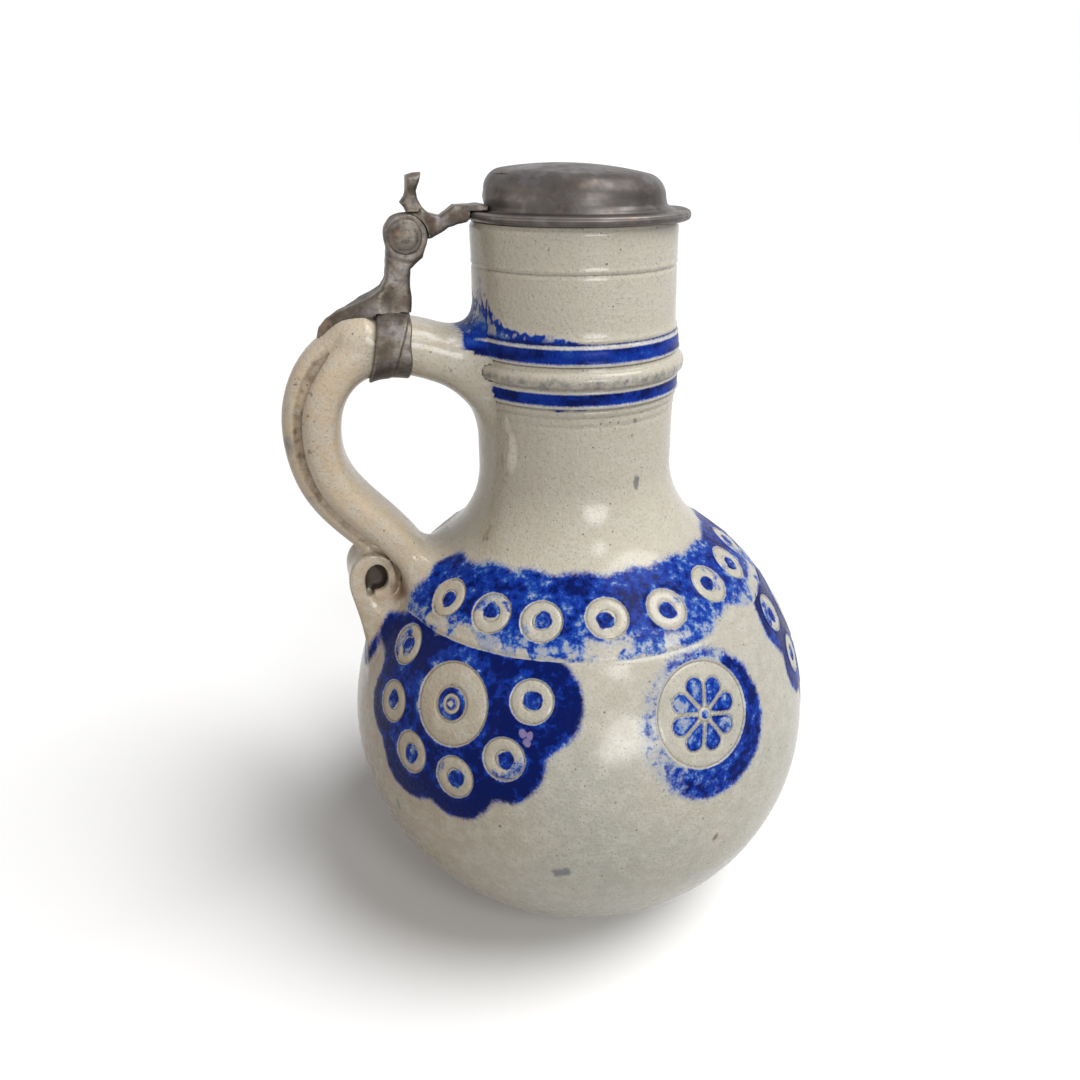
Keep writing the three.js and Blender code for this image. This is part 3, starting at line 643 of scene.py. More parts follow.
    def paint(self, points: Array) -> tuple[Array, Array]:
        """Where the blue glaze lies.

        The blue field is a band above the shoulder's line joined with discs around the marks, its
        edge moved by noise. The band is worn low down, under its rings and left of the handle, and
        deep along its top. The marks' clay stays bare but for their middles and chance smears.

        Args:
            points: places on the belly in millimetres.
        Returns:
            How much blue there is, 0 to 1 with soft edges, and how deep its colour is, 0 to 1.
        """
        x, y, z = points.T
        turn = turns_of(x, y)
        wander = self.noise.layered(x, y, z, 8.0)
        rough = self.noise.layered(x, y, z, 1.9, 2)
        cloud = self.noise.layered(x, z, y, 11.0, 2)
        band = self._band(points, wander, rough)
        group = np.full(len(points), FAR)
        for patch in self.fields:
            group = blend_min(group, self.belly.patch_distance(patch, points), 4.0)
        group = group + 0.8 * wander + 0.6 * rough
        over = z > self.belly.line_height
        amount = self.edge.at(np.where(over, band, group))
        low = smooth(z, 130.5, 125.0) * over
        low = low * (1.0 - 0.8 * bell(turn - 30.0, 13.0))
        bare = self.noise.layered(x, y, 2.0 * z, 7.0, 2) + 0.15
        for mark in self.garland:
            right, up, near = self.belly.local(mark, points)
            bare = bare + 0.4 * bell(np.hypot(right / 6.0, (up + 8.5) / 3.5), 1.0) * near
        bare = bare - 0.8 * bell(turn + 74.0, 8.0)
        worn = smooth(bare + 0.35 * rough, 0.12, 0.5)
        amount = amount * (1.0 - 0.75 * low * worn)
        depth = 0.5 + 0.4 * cloud + 0.2 * rough + np.where(over, 0.0, 0.12) - 0.38 * low
        depth = depth + 0.4 * bell(z - self.garland_top + 4.5, 2.6) * smooth(wander, -0.5, 0.5)
        depth = depth + 0.32 * bell(group + 3.4, 2.4) * ~over
        for rosette in self.rosette_turns:
            amount, depth = self._halo(rosette, points, amount, depth)
        for mark in self.marks:
            self._reserve(mark, points, amount, depth)
        return amount, np.clip(depth, 0.0, 1.0)

    def _halo(self, turn: float, points: Array, amount: Array, depth: Array) -> tuple[Array, Array]:
        """Adds the blue around a rosette, a pale wash on its left and deep on its right and below."""
        x, y, z = points.T
        wander = self.noise.layered(y, x, z, 7.0)
        rough = self.noise.layered(x, y, z, 1.5, 2)
        disc = Patch(turn + self.halo.turn, self.rosette_latitude + self.halo.latitude, self.halo.radius)
        right, up, near = self.belly.local(disc, points)
        edge = np.where(near, np.hypot(right, up) - disc.radius + 0.9 * wander + rough, FAR)
        lit = smooth(0.9 * right - 0.45 * up + 5.0 * wander, -14.0, 8.0)
        lit = np.maximum(lit, 0.55 * smooth(up + 2.0 * wander, 16.0, 20.0))
        uneven = 0.24 * rough + 0.2 * wander
        cover = np.clip(0.5 + 0.5 * lit + uneven, 0.0, 1.0)
        wash = smooth(edge, 3.0 - 1.0 * lit, -2.6) * cover
        tone = 0.2 + 0.36 * lit + uneven + 0.2 * lit * bell(edge + 4.0, 3.0)
        return np.maximum(amount, wash), np.where(wash > amount, tone, depth)

    def _reserve(self, mark: Mark, points: Array, amount: Array, depth: Array) -> None:
        """Takes the blue off a mark's face and paints its middle, in both arrays.

        Args:
            mark: the mark.
            points: places on the belly.
            amount: the blue so far.
            depth: its depth so far.
        """
        right, up, near = self.belly.local(mark, points)
        distance = np.hypot(right, up)
        chosen = near & (distance < mark.radius + 2.0)
        right, up, distance = right[chosen], up[chosen], distance[chosen]
        inside = smooth(distance, mark.radius + 0.2, mark.radius - 0.6)
        blot = self.noise.layered(*points[chosen].T, 3.6)
        face, tone = self._face(mark, right, up, blot)
        amount[chosen] = amount[chosen] * (1.0 - inside) + face * inside
        depth[chosen] = depth[chosen] * (1.0 - inside) + tone * inside

    def _face(self, mark: Mark, right: Array, up: Array, blot: Array) -> tuple[Array, Array]:
        """The blue on a mark's face: an eye with a smear, a ring with a dot, or petals.

        Args:
            mark: the mark.
            right: distances to the right of its centre.
            up: distances upwards.
            blot: noise there.
        Returns:
            How much blue there is and how deep it is.
        """
        share = np.hypot(right, up) / mark.radius
        if mark.kind is Stamp.RING:
            side = right * math.cos(mark.smear) + up * math.sin(mark.smear)
            shift = (0.8 * math.cos(3.0 * mark.smear), 0.8 * math.sin(3.0 * mark.smear))
            off = np.hypot(right + shift[0], up + shift[1])
            eye = smooth(off / mark.radius + 0.2 * blot, 0.46, 0.34)
            reach = 0.9 - 1.1 * mark.veil
            smear = smooth(side / mark.radius + 1.3 * blot, reach - 0.1, reach + 0.6)
            smear = (0.45 + 0.4 * mark.veil) * smear * smooth(share, 0.96, 0.84)
            return np.maximum(eye, smear), np.where(eye > smear, 0.5 + 0.5 * blot, 0.22 + 0.3 * blot)
        if mark.kind is Stamp.TARGET:
            ring = smooth(share, 0.22, 0.25) * smooth(share, 0.39, 0.36)
            dot = 0.75 * smooth(share, 0.16, 0.13) * smooth(share, 0.05, 0.08)
            stray = 0.4 * smooth(blot - 3.0 * np.abs(share - 0.82), 0.25, 0.6)
            return np.maximum(np.maximum(ring, dot), stray), 0.5 + 0.35 * blot
        petal = self._petals(right, up, mark.radius)
        face = np.maximum(smooth(petal, 0.0, -0.5), smooth(share, 0.1, 0.07)) * (0.85 + 0.3 * blot)
        slope = 0.2 * (right - up) / mark.radius
        return face, 0.27 + slope + 0.2 * blot + 0.3 * bell(petal + 0.5, 0.5)


class Stain(Enum):
    """The kinds of small blemishes, named as the mesh's painted values; smudge and rust also carry painted
    shade.
    """

    SMUDGE = "smudge"
    RUST = "rust"
    LILAC = "lilac"


@dataclass(frozen=True)
class Blemish:
    """A small blemish at a turn in degrees and a height, with its half sizes in millimetres."""

    kind: Stain
    turn: float
    height: float
    wide: float
    tall: float
    strength: float = 1.0


@dataclass
class Body:
    """The thrown body: its outline, as in the CAD part, its unevenness and its painted skin.

    Each turned line of the neck has a height, a depth and a width. The lean gives at some heights
    how far the axis stands aside along the lean's turn, and the smear's edge how far from the
    handle's turn the clay around its root ends.
    """

    belly: Belly = Belly()
    handle_turn: float = -90.0
    base_radius: float = 37.5
    heel_height: float = 3.5
    neck_radius: float = 32.3
    rim_height: float = 242.0
    lip: Step = Step(240.4, 242.0, -0.8)
    shoulder_fillet: float = 34.0
    wall: float = 5.0
    floor_thickness: float = 7.0
    ridge_height: float = 199.5
    ridge_half_height: float = 2.4
    ridge_rise: float = 1.9
    band_swell: float = 1.1
    band_reach: float = 6.0
    band_fade: float = 9.0
    upper_band: Pair = (203.5, 210.2)
    lower_band: Pair = (191.7, 196.4)
    wash_band: Pair = (190.3, 191.8)
    neck_lines: Outline = (
        (229.3, 0.35, 0.45), (210.0, 0.42, 0.42), (203.3, 0.45, 0.42), (196.8, 0.45, 0.42),
        (190.6, 0.42, 0.45), (188.0, 0.25, 0.5), (185.2, 0.18, 0.5),
    )
    shoulder_line: Pair = (0.34, 0.5)
    fillets: tuple[float, ...] = (209.1, 204.0, 196.0, 191.5)
    fillet_rise: float = 0.35
    fillet_width: float = 0.45
    lean_line: Outline = (
        (0.0, 1.5), (10.0, 1.5), (70.0, 0.0), (128.0, 0.0), (165.0, -1.5), (243.0, -1.5),
    )
    lean_turn: float = 76.0
    smear_edge: Outline = (
        (172.0, 37.0), (179.0, 34.5), (188.0, 31.0), (194.0, 27.0), (199.0, 23.0), (205.5, 18.0),
    )
    glaze_rise: float = 0.1
    slope_step: float = 0.05

    BLEMISHES = (
        Blemish(Stain.SMUDGE, -18.1, 58.2, 4.2, 2.5),
        Blemish(Stain.SMUDGE, 23.2, 165.7, 1.5, 3.0, 0.9),
        Blemish(Stain.SMUDGE, 21.0, 186.0, 1.4, 1.5, 0.7),
        Blemish(Stain.SMUDGE, 19.5, 181.4, 1.1, 1.4, 0.6),
        Blemish(Stain.SMUDGE, -60.3, 64.5, 1.3, 3.0),
        Blemish(Stain.SMUDGE, -2.0, 112.0, 3.0, 2.5, 0.3),
        Blemish(Stain.RUST, 17.7, 61.9, 1.8, 2.0, 0.7),
        Blemish(Stain.RUST, -30.8, 74.3, 1.0, 1.0, 0.6),
        Blemish(Stain.RUST, -70.0, 222.0, 1.0, 0.8, 0.8),
        Blemish(Stain.LILAC, -26.7, 104.2, 1.5, 1.4),
        Blemish(Stain.LILAC, -24.9, 103.9, 1.3, 1.4),
        Blemish(Stain.LILAC, -25.6, 101.8, 1.5, 1.5),
        Blemish(Stain.LILAC, -75.0, 224.0, 2.6, 11.0, 0.6),
        Blemish(Stain.LILAC, -66.0, 214.0, 2.0, 3.0, 0.6),
        Blemish(Stain.RUST, -64.0, 148.0, 7.0, 9.0, 0.45),
        Blemish(Stain.RUST, -58.0, 164.0, 5.0, 9.0, 0.4),
    )

    def __post_init__(self) -> None:
        """Works out where the shoulder's hollow arc has its centre and meets the belly."""
        self.noise = Noise(11)
        self.decoration = Decoration(self.belly, self.handle_turn)
        out = self.neck_radius + self.shoulder_fillet
        reach = self.belly.radius + self.shoulder_fillet
        self.hollow = (out, self.belly.height + math.sqrt(reach**2 - out**2))
        self.meet = self.belly.height + self.belly.radius * math.sin(math.acos(out / reach))

    def radius(self, z: Array, ridged: bool = True) -> Array:
        """The plain radius of the outside at a height.

        Args:
            z: heights in millimetres.
            ridged: whether the neck has its ridge.
        Returns:
            Radii: an ellipse under the belly's widest circle, a ball over it, a hollow arc, the neck.
        """
        belly = self.belly
        out, middle = self.hollow
        under = np.clip(1.0 - ((belly.height - z) / belly.depth) ** 2, 0.0, 1.0)
        ball = np.sqrt(np.clip(belly.radius**2 - (z - belly.height) ** 2, 0.0, None))
        shoulder = out - np.sqrt(np.clip(self.shoulder_fillet**2 - (z - middle) ** 2, 0.0, None))
        away = np.abs(z - self.ridge_height)
        swell = self.band_swell * (1.0 - smooth(away, self.band_reach, self.band_reach + self.band_fade))
        round_top = np.sqrt(np.clip(1.0 - (away / self.ridge_half_height) ** 2, 0.0, 1.0))
        neck = self.neck_radius + swell + ridged * self.ridge_rise * round_top + self.lip.at(z)
        upper = np.where(z < self.meet, ball, np.where(z < middle, shoulder, neck))
        return np.where(z < belly.height, belly.radius * np.sqrt(under), upper)

    def slope(self, z: Array, ridged: bool = True) -> Array:
        """How fast the radius grows with the height."""
        step = self.slope_step
        return (self.radius(z + step, ridged) - self.radius(z - step, ridged)) / (2 * step)

    def grooves(self, z: Array) -> tuple[Array, Array]:
        """The turned lines of neck and shoulder: displacement, and how deep in a line each place is."""
        depth = np.zeros_like(z)
        line = np.zeros_like(z)
        for middle, cut, width in (*self.neck_lines, (self.belly.line_height, *self.shoulder_line)):
            hump = bell(z - middle, width)
            depth = depth - cut * hump + 0.5 * cut * bell(z - middle - 2.2 * width, 1.2 * width)
            full = 0.4 if middle > self.belly.line_height else 0.8
            line = np.maximum(line, hump * cut / full)
        for middle in self.fillets:
            depth = depth + self.fillet_rise * bell(z - middle, self.fillet_width)
        return depth, line

    def aside(self, z: Array) -> Array:
        """How far the leaning axis stands aside at some heights, as x and y."""
        heights, sides = np.array(self.lean_line).T
        return np.interp(z, heights, sides)[..., None] * heading(self.lean_turn)

    def uneven(self, x: Array, y: Array, z: Array) -> Array:
        """Soft bumps and turning marks of the thrown wall, in millimetres."""
        soft = 0.28 * self.noise.at(x, y, z, 38.0) + 0.1 * self.noise.at(x, y, z, 13.0)
        turning = 0.12 * self.noise.at(x * 0.08, y * 0.08, z, 2.6) * smooth(z, 62.0, 30.0)
        throwing = 0.05 * self.noise.at(x * 0.1, y * 0.1, z, 5.0)
        return soft + turning + throwing

    def distance(self, x: Array, y: Array, z: Array, ridged: bool = True) -> Array:
        """Signed distance from the body's outside without its lines and marks.

        Formula: radius from the leaning axis less the outline's radius, over the outline's slope.
        """
        aside = self.aside(z)
        radial = np.hypot(x - aside[..., 0], y - aside[..., 1]) - self.radius(z, ridged)
        return radial / np.sqrt(1.0 + self.slope(z, ridged) ** 2) - self.uneven(x, y, z)

    def outline(self, low: float, high: float, pitch: float) -> Array:
        """Heights between two limits, spaced evenly along the outline."""
        fine = np.linspace(low, high, 4000)
        radius = self.radius(fine)
        length = np.concatenate([[0.0], np.cumsum(np.hypot(np.diff(fine), np.diff(radius)))])
        count = max(2, int(length[-1] / pitch))
        return np.interp(np.linspace(0.0, length[-1], count), length, fine)

    def paint(self, points: Array) -> dict[str, Array]:
        """The painted values of places on the plain outside: blue, its depth, the blemishes, and painted
        shade on the lower half of the neck's ridge.

        Args:
            points: places in millimetres.
        Returns:
            One array of values from 0 to 1 for each.
        """
        x, y, z = points.T
        neck = z > self.hollow[1] - 10.0
        amount = np.zeros(len(points))
        depth = np.zeros(len(points))
        for chosen, source in ((neck, self.bands), (~neck, self.decoration.paint)):
            if chosen.any():
                amount[chosen], depth[chosen] = source(points[chosen])
        values = {"blue": amount, "depth": depth}
        turn = turns_of(x, y)
        rough = self.noise.layered(x, y, z, 1.7, 2)
        for kind in Stain:
            values[kind.value] = np.zeros(len(points))
        for spot in self.BLEMISHES:
            across = np.radians(apart(turn, spot.turn)) * np.hypot(x, y)
            hump = spot.strength * bell(np.hypot(across / spot.wide, (z - spot.height) / spot.tall), 1.0)
            hump = smooth(hump + 0.5 * rough * hump, 0.2, 0.8)
            values[spot.kind.value] = np.maximum(values[spot.kind.value], hump)
        # painted shade: a grey smudge over the neck's ridge, weighted to its lower half where its underside
        # is in shade, joins the smudges
        ridge = bell(z - self.ridge_height + 0.7, 2.2) * (0.5 + 0.6 * rough)
        smudge = Stain.SMUDGE.value
        values[smudge] = np.maximum(values[smudge], np.clip(ridge, 0.0, 1.0))
        values["pale"] = sum(bell(z - middle, 0.5) for middle in self.fillets) * smooth(rough, -0.9, 0.1)
        return values

    def skin(self, name: str, turns: Array, heights: Array) -> Surface:
        """A stretch of the outside between two turns and two heights.

        Formula: the outline's point at each height, turned, pushed along its normal by the lines,
        the marks, the wall's unevenness and the glaze, and moved aside by the lean.

        Args:
            name: the piece's name.
            turns: turns of its columns in degrees.
            heights: heights of its rows.
        Returns:
            The surface with its painted values.
        """
        around, z = (grid.ravel() for grid in np.meshgrid(np.radians(turns), heights))
        radius = self.radius(z)
        slope = self.slope(z)
        points = np.stack([radius * np.sin(around), -radius * np.cos(around), z], axis=1)
        push, line = self.grooves(z)
        raised, cut = self.decoration.relief(points)
        values = self.paint(points)
        values["line"] = np.maximum(line, cut)
        push = push + self.uneven(*points.T) + raised + self.glaze_rise * values["blue"]
        push = push / np.sqrt(1.0 + slope**2)
        points += np.stack([push * np.sin(around), -push * np.cos(around), -push * slope], axis=1)
        points[:, :2] += self.aside(z)
        columns = len(turns)
        corner = (np.arange(len(heights) - 1)[:, None] * columns + np.arange(columns - 1)).ravel()
        faces = np.stack([corner, corner + 1, corner + columns + 1, corner + columns], axis=1)
        return Surface(name, points, faces, values)

    def bands(self, points: Array) -> tuple[Array, Array]:
        """The blue bands of the neck and the smear that runs from them up to the handle's root.

        The upper band's top climbs towards the root in streaks. The bands stop at the clay around
        the root, leave the turned fillets bare, thin out on the smear and spill onto the ridge.

        Args:
            points: places on the neck or on the clay smeared around the handle's root.
        Returns:
            How much blue there is and how deep it is.
        """
        x, y, z = points.T
        wander = self.noise.layered(x, y, z, 6.0)
        rough = self.noise.layered(x * 0.5, y * 0.5, z, 1.3, 2)
        streak = self.noise.layered(x * 2.5, y * 2.5, z * 0.4, 4.0, 2)
        sweep = self.noise.layered(x * 0.3, y * 0.3, z, 2.6, 2)
        off_root = np.abs(apart(turns_of(x, y), self.handle_turn))
        climb = 8.5 * smooth(off_root, 46.0, 12.0) + 2.6 * smooth(off_root, 84.0, 62.0)
        bottom, top = self.upper_band
        top = top + climb + (1.2 * wander + 2.2 * streak) * (0.05 + climb / 5.0)
        upper = np.maximum(z - top, bottom - z)
        bottom, top = self.lower_band
        lower = np.maximum(z - top, bottom - z)
        bottom, top = self.wash_band
        wash = np.maximum(z - top, bottom + 1.5 * wander - z) + 0.6
        heights, turns = np.array(self.smear_edge).T
        under = (np.interp(z, heights, turns) - off_root) * 0.5 + 0.8 * rough
        both = np.maximum(np.minimum(upper, np.minimum(lower, wash)), under)
        amount = smooth(np.where(z < 206.0, both, upper), 0.6, -0.6)
        for fillet in self.fillets:
            amount = amount * (1.0 - 0.95 * bell(z - fillet, 0.55) * smooth(off_root, 14.0, 24.0))
        thin = smooth(z, 209.5, 212.0)
        amount = amount * (1.0 - 0.6 * thin * smooth(0.5 * rough + streak, -0.05, 0.4))
        depth = 0.6 + 0.3 * wander + 0.4 * sweep + 0.2 * streak * thin - 0.15 * thin
        spill = smooth(wander + 0.6 * rough, 0.4, 0.8) * bell(z - self.ridge_height - 1.0, 3.0)
        return np.maximum(amount, 0.5 * spill), np.clip(depth, 0.0, 1.0)

    def inside(self) -> Surface:
        """The wall's inner side, the rim's top and the floor, as one surface."""
        belly = self.belly
        rim = self.rim_height
        heights = self.outline(self.floor_thickness, rim - 1.0, 2.2)
        inner = np.clip(self.radius(heights) - self.wall, 4.0, None)
        under = np.clip(1.0 - ((belly.height - heights) / (belly.depth - self.wall)) ** 2, 0.0, 1.0)
        inner = np.where(heights < belly.height, (belly.radius - self.wall) * np.sqrt(under), inner)
        bore = self.neck_radius - self.wall
        inner = np.where(heights > self.hollow[1], bore, inner)
        outer = self.neck_radius
        edge = [(outer - 0.8, rim), (outer - 1.6, rim + 0.05)]
        edge += [(bore + 0.9, rim + 0.05), (bore + 0.2, rim - 0.4)]
        floor = [(inner[0] * share, self.floor_thickness) for share in (0.75, 0.5, 0.25, 0.02)]
        outline = np.array(edge + list(zip(inner[::-1], heights[::-1])) + floor)
        return self._leaning(lathe("jug_inside", outline, 200))

    def foot(self) -> Surface:
        """The flat base with a shallow hollow in its middle, and the rounded heel up to the belly."""
        heel = float(self.radius(np.array([self.heel_height]))[0])
        hollow = [(0.4, 1.2), (18.0, 1.2), (24.0, 1.1), (28.0, 0.3), (30.0, 0.02)]
        bend = [
            (heel - (heel - self.base_radius) * (1 - math.sin(a)), self.heel_height * (1 - math.cos(a)))
            for a in np.linspace(0.0, math.pi / 2, 9)
        ]
        return self._leaning(lathe("jug_foot", np.array(hollow + bend), 260))

    def _leaning(self, surface: Surface) -> Surface:
        """A surface moved aside by the lean."""
        surface.points[:, :2] += self.aside(surface.points[:, 2])
        return surface


@dataclass
class Handle:
    """The pulled handle with its rolled end, as a field of signed distances.

    The bar follows one line of Bezier sweeps and the rolled strip another. Hearts are plugs of clay
    in the roll, each at an out and a height with its radius and half width, and the eye is the hole
    beside them, darkened inside with painted shade. A drip of clay runs down the neck through
    places given by turn and height.
    """

    body: Body
    width: float = 24.0
    foot_width: float = 22.0
    thickness: float = 17.6
    rib_width: float = 11.0
    rib_height: float = 5.2
    rib_grows: Step = Step(0.27, 0.42)
    groove: float = 2.0
    groove_aside: float = 0.9
    plain_power: float = 2.6
    strap_power: float = 2.9
    rib_power: float = 2.2
    sweeps: tuple[Outline, ...] = (
        ((26.5, 193.4), (65.8, 219.7), (86.4, 203.6), (86.4, 178.4)),
        ((86.4, 178.4), (86.4, 151.6), (62.7, 149.4), (56.7, 122.3)),
    )
    curl_sweeps: tuple[Outline, ...] = (
        ((66.5, 101.0), (70.0, 110.0), (76.2, 117.0), (77.5, 128.0)),
        ((77.5, 128.0), (78.4, 139.3), (66.2, 141.2), (66.3, 131.0)),
        ((66.3, 131.0), (66.3, 127.0), (68.6, 124.6), (72.4, 125.2)),
    )
    curl_width: float = 17.0
    curl_strip: float = 5.2
    curl_end: float = 2.4
    curl_root: Step = Step(26.0, 10.0, 4.2)
    curl_far_side: Step = Step(-3.0, 8.5, 2.2)
    hearts: Outline = ((71.8, 129.6, 7.0, 2.0), (71.2, 119.6, 5.4, 8.0))
    eye: Triple = (72.0, 130.6, 6.2)
    foot_reach: float = 9.0
    root_reach: float = 12.0
    root_side_reach: float = 4.0
    apron_spread: Step = Step(212.0, 182.0, 10.0)
    drip: Outline = ((-57.0, 184.0), (-53.5, 178.5), (-53.5, 174.0), (-55.5, 171.5))
    tail_lift: float = 2.4
    box: Outline = ((-98.0, -26.0, 92.0), (-20.0, 26.0, 226.0))

    def __post_init__(self) -> None:
        """Draws the lines that bar and roll follow."""
        self.noise = Noise(23)
        self.line = Curve(self.sweeps)
        self.roll = Curve(self.curl_sweeps)

    @staticmethod
    def _rounded(across: Array, beside: Array, width: Array, half: float, power: float) -> Array:
        """Distance from a rounded block: the power mean of both shares less 1, times the half height."""
        mean = ((across / width) ** power + (np.abs(beside) / half) ** power) ** (1.0 / power)
        return (mean - 1.0) * half

    def _valley(self, across: Array, beside: Array) -> Array:
        """Signed distance from the round grooves at both sides of the rib."""
        aside = across - self.rib_width / 2 - self.groove_aside
        return np.hypot(aside, beside - self.thickness / 2 + self.rib_height) - self.groove

    def bar(self, x: Array, y: Array, z: Array) -> Array:
        """Signed distance from the bar without its smears, a rounded section swept along the line."""
        beside, along, past = self.line.measure(-x, z)
        share = along / self.line.length
        half = self.thickness / 2
        rib = self.rib_height
        width = (self.width + (self.foot_width - self.width) * smooth(share, 0.5, 1.0)) / 2
        across = np.abs(y)
        plain = self._rounded(across, beside, width, half, self.plain_power)
        strap = self._rounded(across, beside + rib / 2, width, half - rib / 2, self.strap_power)
        ridge = self._rounded(across, beside - half + rib, self.rib_width / 2, rib, self.rib_power)
        ribbed = blend_max(blend_min(strap, ridge, 0.8), -self._valley(across, beside), 1.0)
        grown = self.rib_grows.at(share)
        bar = plain * (1.0 - grown) + ribbed * grown + 0.3 * self.noise.at(x, y, z, 21.0)
        return np.maximum(bar, past)

    def curl(self, x: Array, y: Array, z: Array) -> Array:
        """Signed distance from the rolled strip, thick where it leaves the belly."""
        beside, along, past = self.roll.measure(-x, z)
        share = along / self.roll.length
        thickness = self.curl_strip + self.curl_root.at(along)
        thickness = thickness + (self.curl_end - self.curl_strip) * smooth(share, 0.55, 0.85)
        thickness = thickness + self.curl_far_side.at(y) * smooth(share, 0.4, 0.6)
        strip = np.maximum(np.abs(beside) - thickness / 2, past + 0.5)
        for out, height, radius, half in self.hearts:
            heart = np.maximum(np.hypot(-x - out, z - height) - radius, np.abs(y) - half)
            strip = blend_min(strip, heart, 1.5)
        sides = np.abs(y) - self.curl_width / 2 - 0.4 * self.noise.at(x, y, z, 9.0)
        return blend_max(strip, sides, 2.4)

    def apron(self, x: Array, y: Array, z: Array) -> Array:
        """Signed distance from the clay smeared down the neck around the root, with its drip.

        A flat mound: the length of its shares along radius, girth and height less 1, times 6. The
        drip is a row of upright ellipsoids that grow downwards.
        """
        neck = self.body.neck_radius
        turn = np.arctan2(-y, -x)
        spread = 9.0 + self.apron_spread.at(z)
        shares = ((np.hypot(x, y) - neck + 6.0) / 7.6, neck * turn / spread, (z - 190.0) / 21.0)
        mound = (np.sqrt(sum(share**2 for share in shares)) - 1.0) * 6.0
        for i, (place, height) in enumerate(self.drip):
            drop_x, drop_y = (neck + 0.4) * heading(place)
            drop = np.sqrt((x - drop_x) ** 2 + (y - drop_y) ** 2 + ((z - height) / 2.2) ** 2)
            mound = blend_min(mound, drop - 1.1 - 0.25 * i, 1.5)
        return mound

    def clay(self, x: Array, y: Array, z: Array) -> Array:
        """Signed distance from bar, curl, apron and body, with the smeared fillets between them."""
        body = self.body.distance(x, y, z, ridged=False)
        upper = smooth(z, 160.0, 172.0)
        tail = smooth(x, -64.0, -67.5) * smooth(x, -82.0, -72.0) * smooth(z, 206.0, 212.0)
        bar = blend_min(self.bar(x, y, z - self.tail_lift * tail), self.curl(x, y, z), 2.0)
        side = self.root_side_reach
        reach = side + (self.root_reach - side) * smooth(np.abs(y), 17.0, 8.0)
        root = blend_min(blend_min(bar, body, reach), self.apron(x, y, z), 1.2)
        foot = blend_min(bar, body, self.foot_reach)
        return root * upper + foot * (1.0 - upper)

    def _stands_off(self, points: Array) -> Array:
        """Whether places lie outside the body."""
        return self.body.distance(*points.T) > 0.02

    def surface(self, pitch: float) -> Surface:
        """The handle's skin where it stands off the body.

        Args:
            pitch: grid spacing in millimetres.
        Returns:
            The surface with its painted values.
        """
        grid = Grid(*self.box, pitch)
        values = self.clay(*grid.axes())
        surface = grid.surface("handle_skin", values, self._stands_off)
        surface.paint = self.paint(surface.points)
        return surface

    def paint(self, points: Array) -> dict[str, Array]:
        """The painted values of the handle's skin.

        The blue of the neck runs up the smeared clay. Painted shade darkens the grooves, the cleft
        under the roll and its eye, and lies as brown in the grooves, in the cleft and where the root
        meets the neck's ridge. Brown also lies on the outer bend and along the rib's worn edge.

        Args:
            points: places in millimetres.
        Returns:
            One array of values for each, as the body has them.
        """
        x, y, z = points.T
        off = self.body.distance(x, y, z)
        wander = self.noise.layered(x, y, z, 5.0)
        rough = self.noise.layered(x, y, z, 1.6, 2)
        paint = self.body.paint(points)
        near = smooth(off, 3.5, 1.0)
        top = smooth(off + 3.0 * wander, 9.0, 4.0) * smooth(z + 1.5 * rough, 203.0, 206.5)
        paint["blue"] *= np.where(z > 160.0, np.maximum(near, top), near)
        beside, along, _ = self.line.measure(-x, z)
        # painted shade: the grooves beside the rib darken from a third of the way down the bar
        valley = smooth(self._valley(np.abs(y), beside), 1.1, 0.0)
        valley = valley * smooth(along / self.line.length, 0.3, 0.42) * smooth(off, 0.5, 3.0)
        # painted shade: the cleft between the roll and the handle's foot
        cleft = bell(np.hypot(x + 64.5, (z - 126.5) / 1.6), 3.6) * smooth(off, 0.5, 2.0)
        # painted shade: the roll's hole is dark inside, fading out towards its open ends
        out, height, radius = self.eye
        eye = smooth(np.hypot(x + out, z - height), radius + 0.4, radius - 0.8)
        eye = eye * smooth(np.abs(y), 7.4, 5.0)
        bare = smooth(x, -60.0, -50.0) * smooth(z, 196.0, 206.0) * smooth(wander + rough, -0.3, 0.6)
        paint["pale"] = np.maximum(paint["pale"] * near, 0.6 * bare)
        # the dark line here is all painted shade: grooves, cleft and eye
        paint["line"] = np.maximum(np.maximum(0.45 * valley, 0.6 * cleft), 1.5 * eye)
        bend = bell(np.hypot(x + 90.0, (z - 188.0) / 2.0), 9.0) * smooth(rough + 0.5 * wander, 0.15, 0.6)
        ridge = 0.35 * smooth(x, -74.0, -84.0) * smooth(np.abs(y), 8.5, 6.5) * smooth(wander, -0.4, 0.6)
        # painted shade in brown: the grooves and the cleft
        worn = np.maximum(valley * (0.45 + 0.3 * rough + 0.3 * wander), 0.9 * cleft)
        # painted shade in brown: where the handle's root meets the neck's ridge
        root = 0.6 * bell(np.hypot(x + 44.0, (z - 199.0) / 1.4), 4.5) * smooth(rough, 0.0, 0.5)
        # brown on the outer bend and the rib's edge, joined with the painted shade
        rust = np.maximum(np.maximum(bend, ridge), np.maximum(worn, root))
        paint[Stain.RUST.value] = np.clip(rust, 0.0, 1.0)
        paint[Stain.SMUDGE.value] = 0.8 * bell(np.hypot(x + 95.0, z - 178.0), 4.0)
        return paint


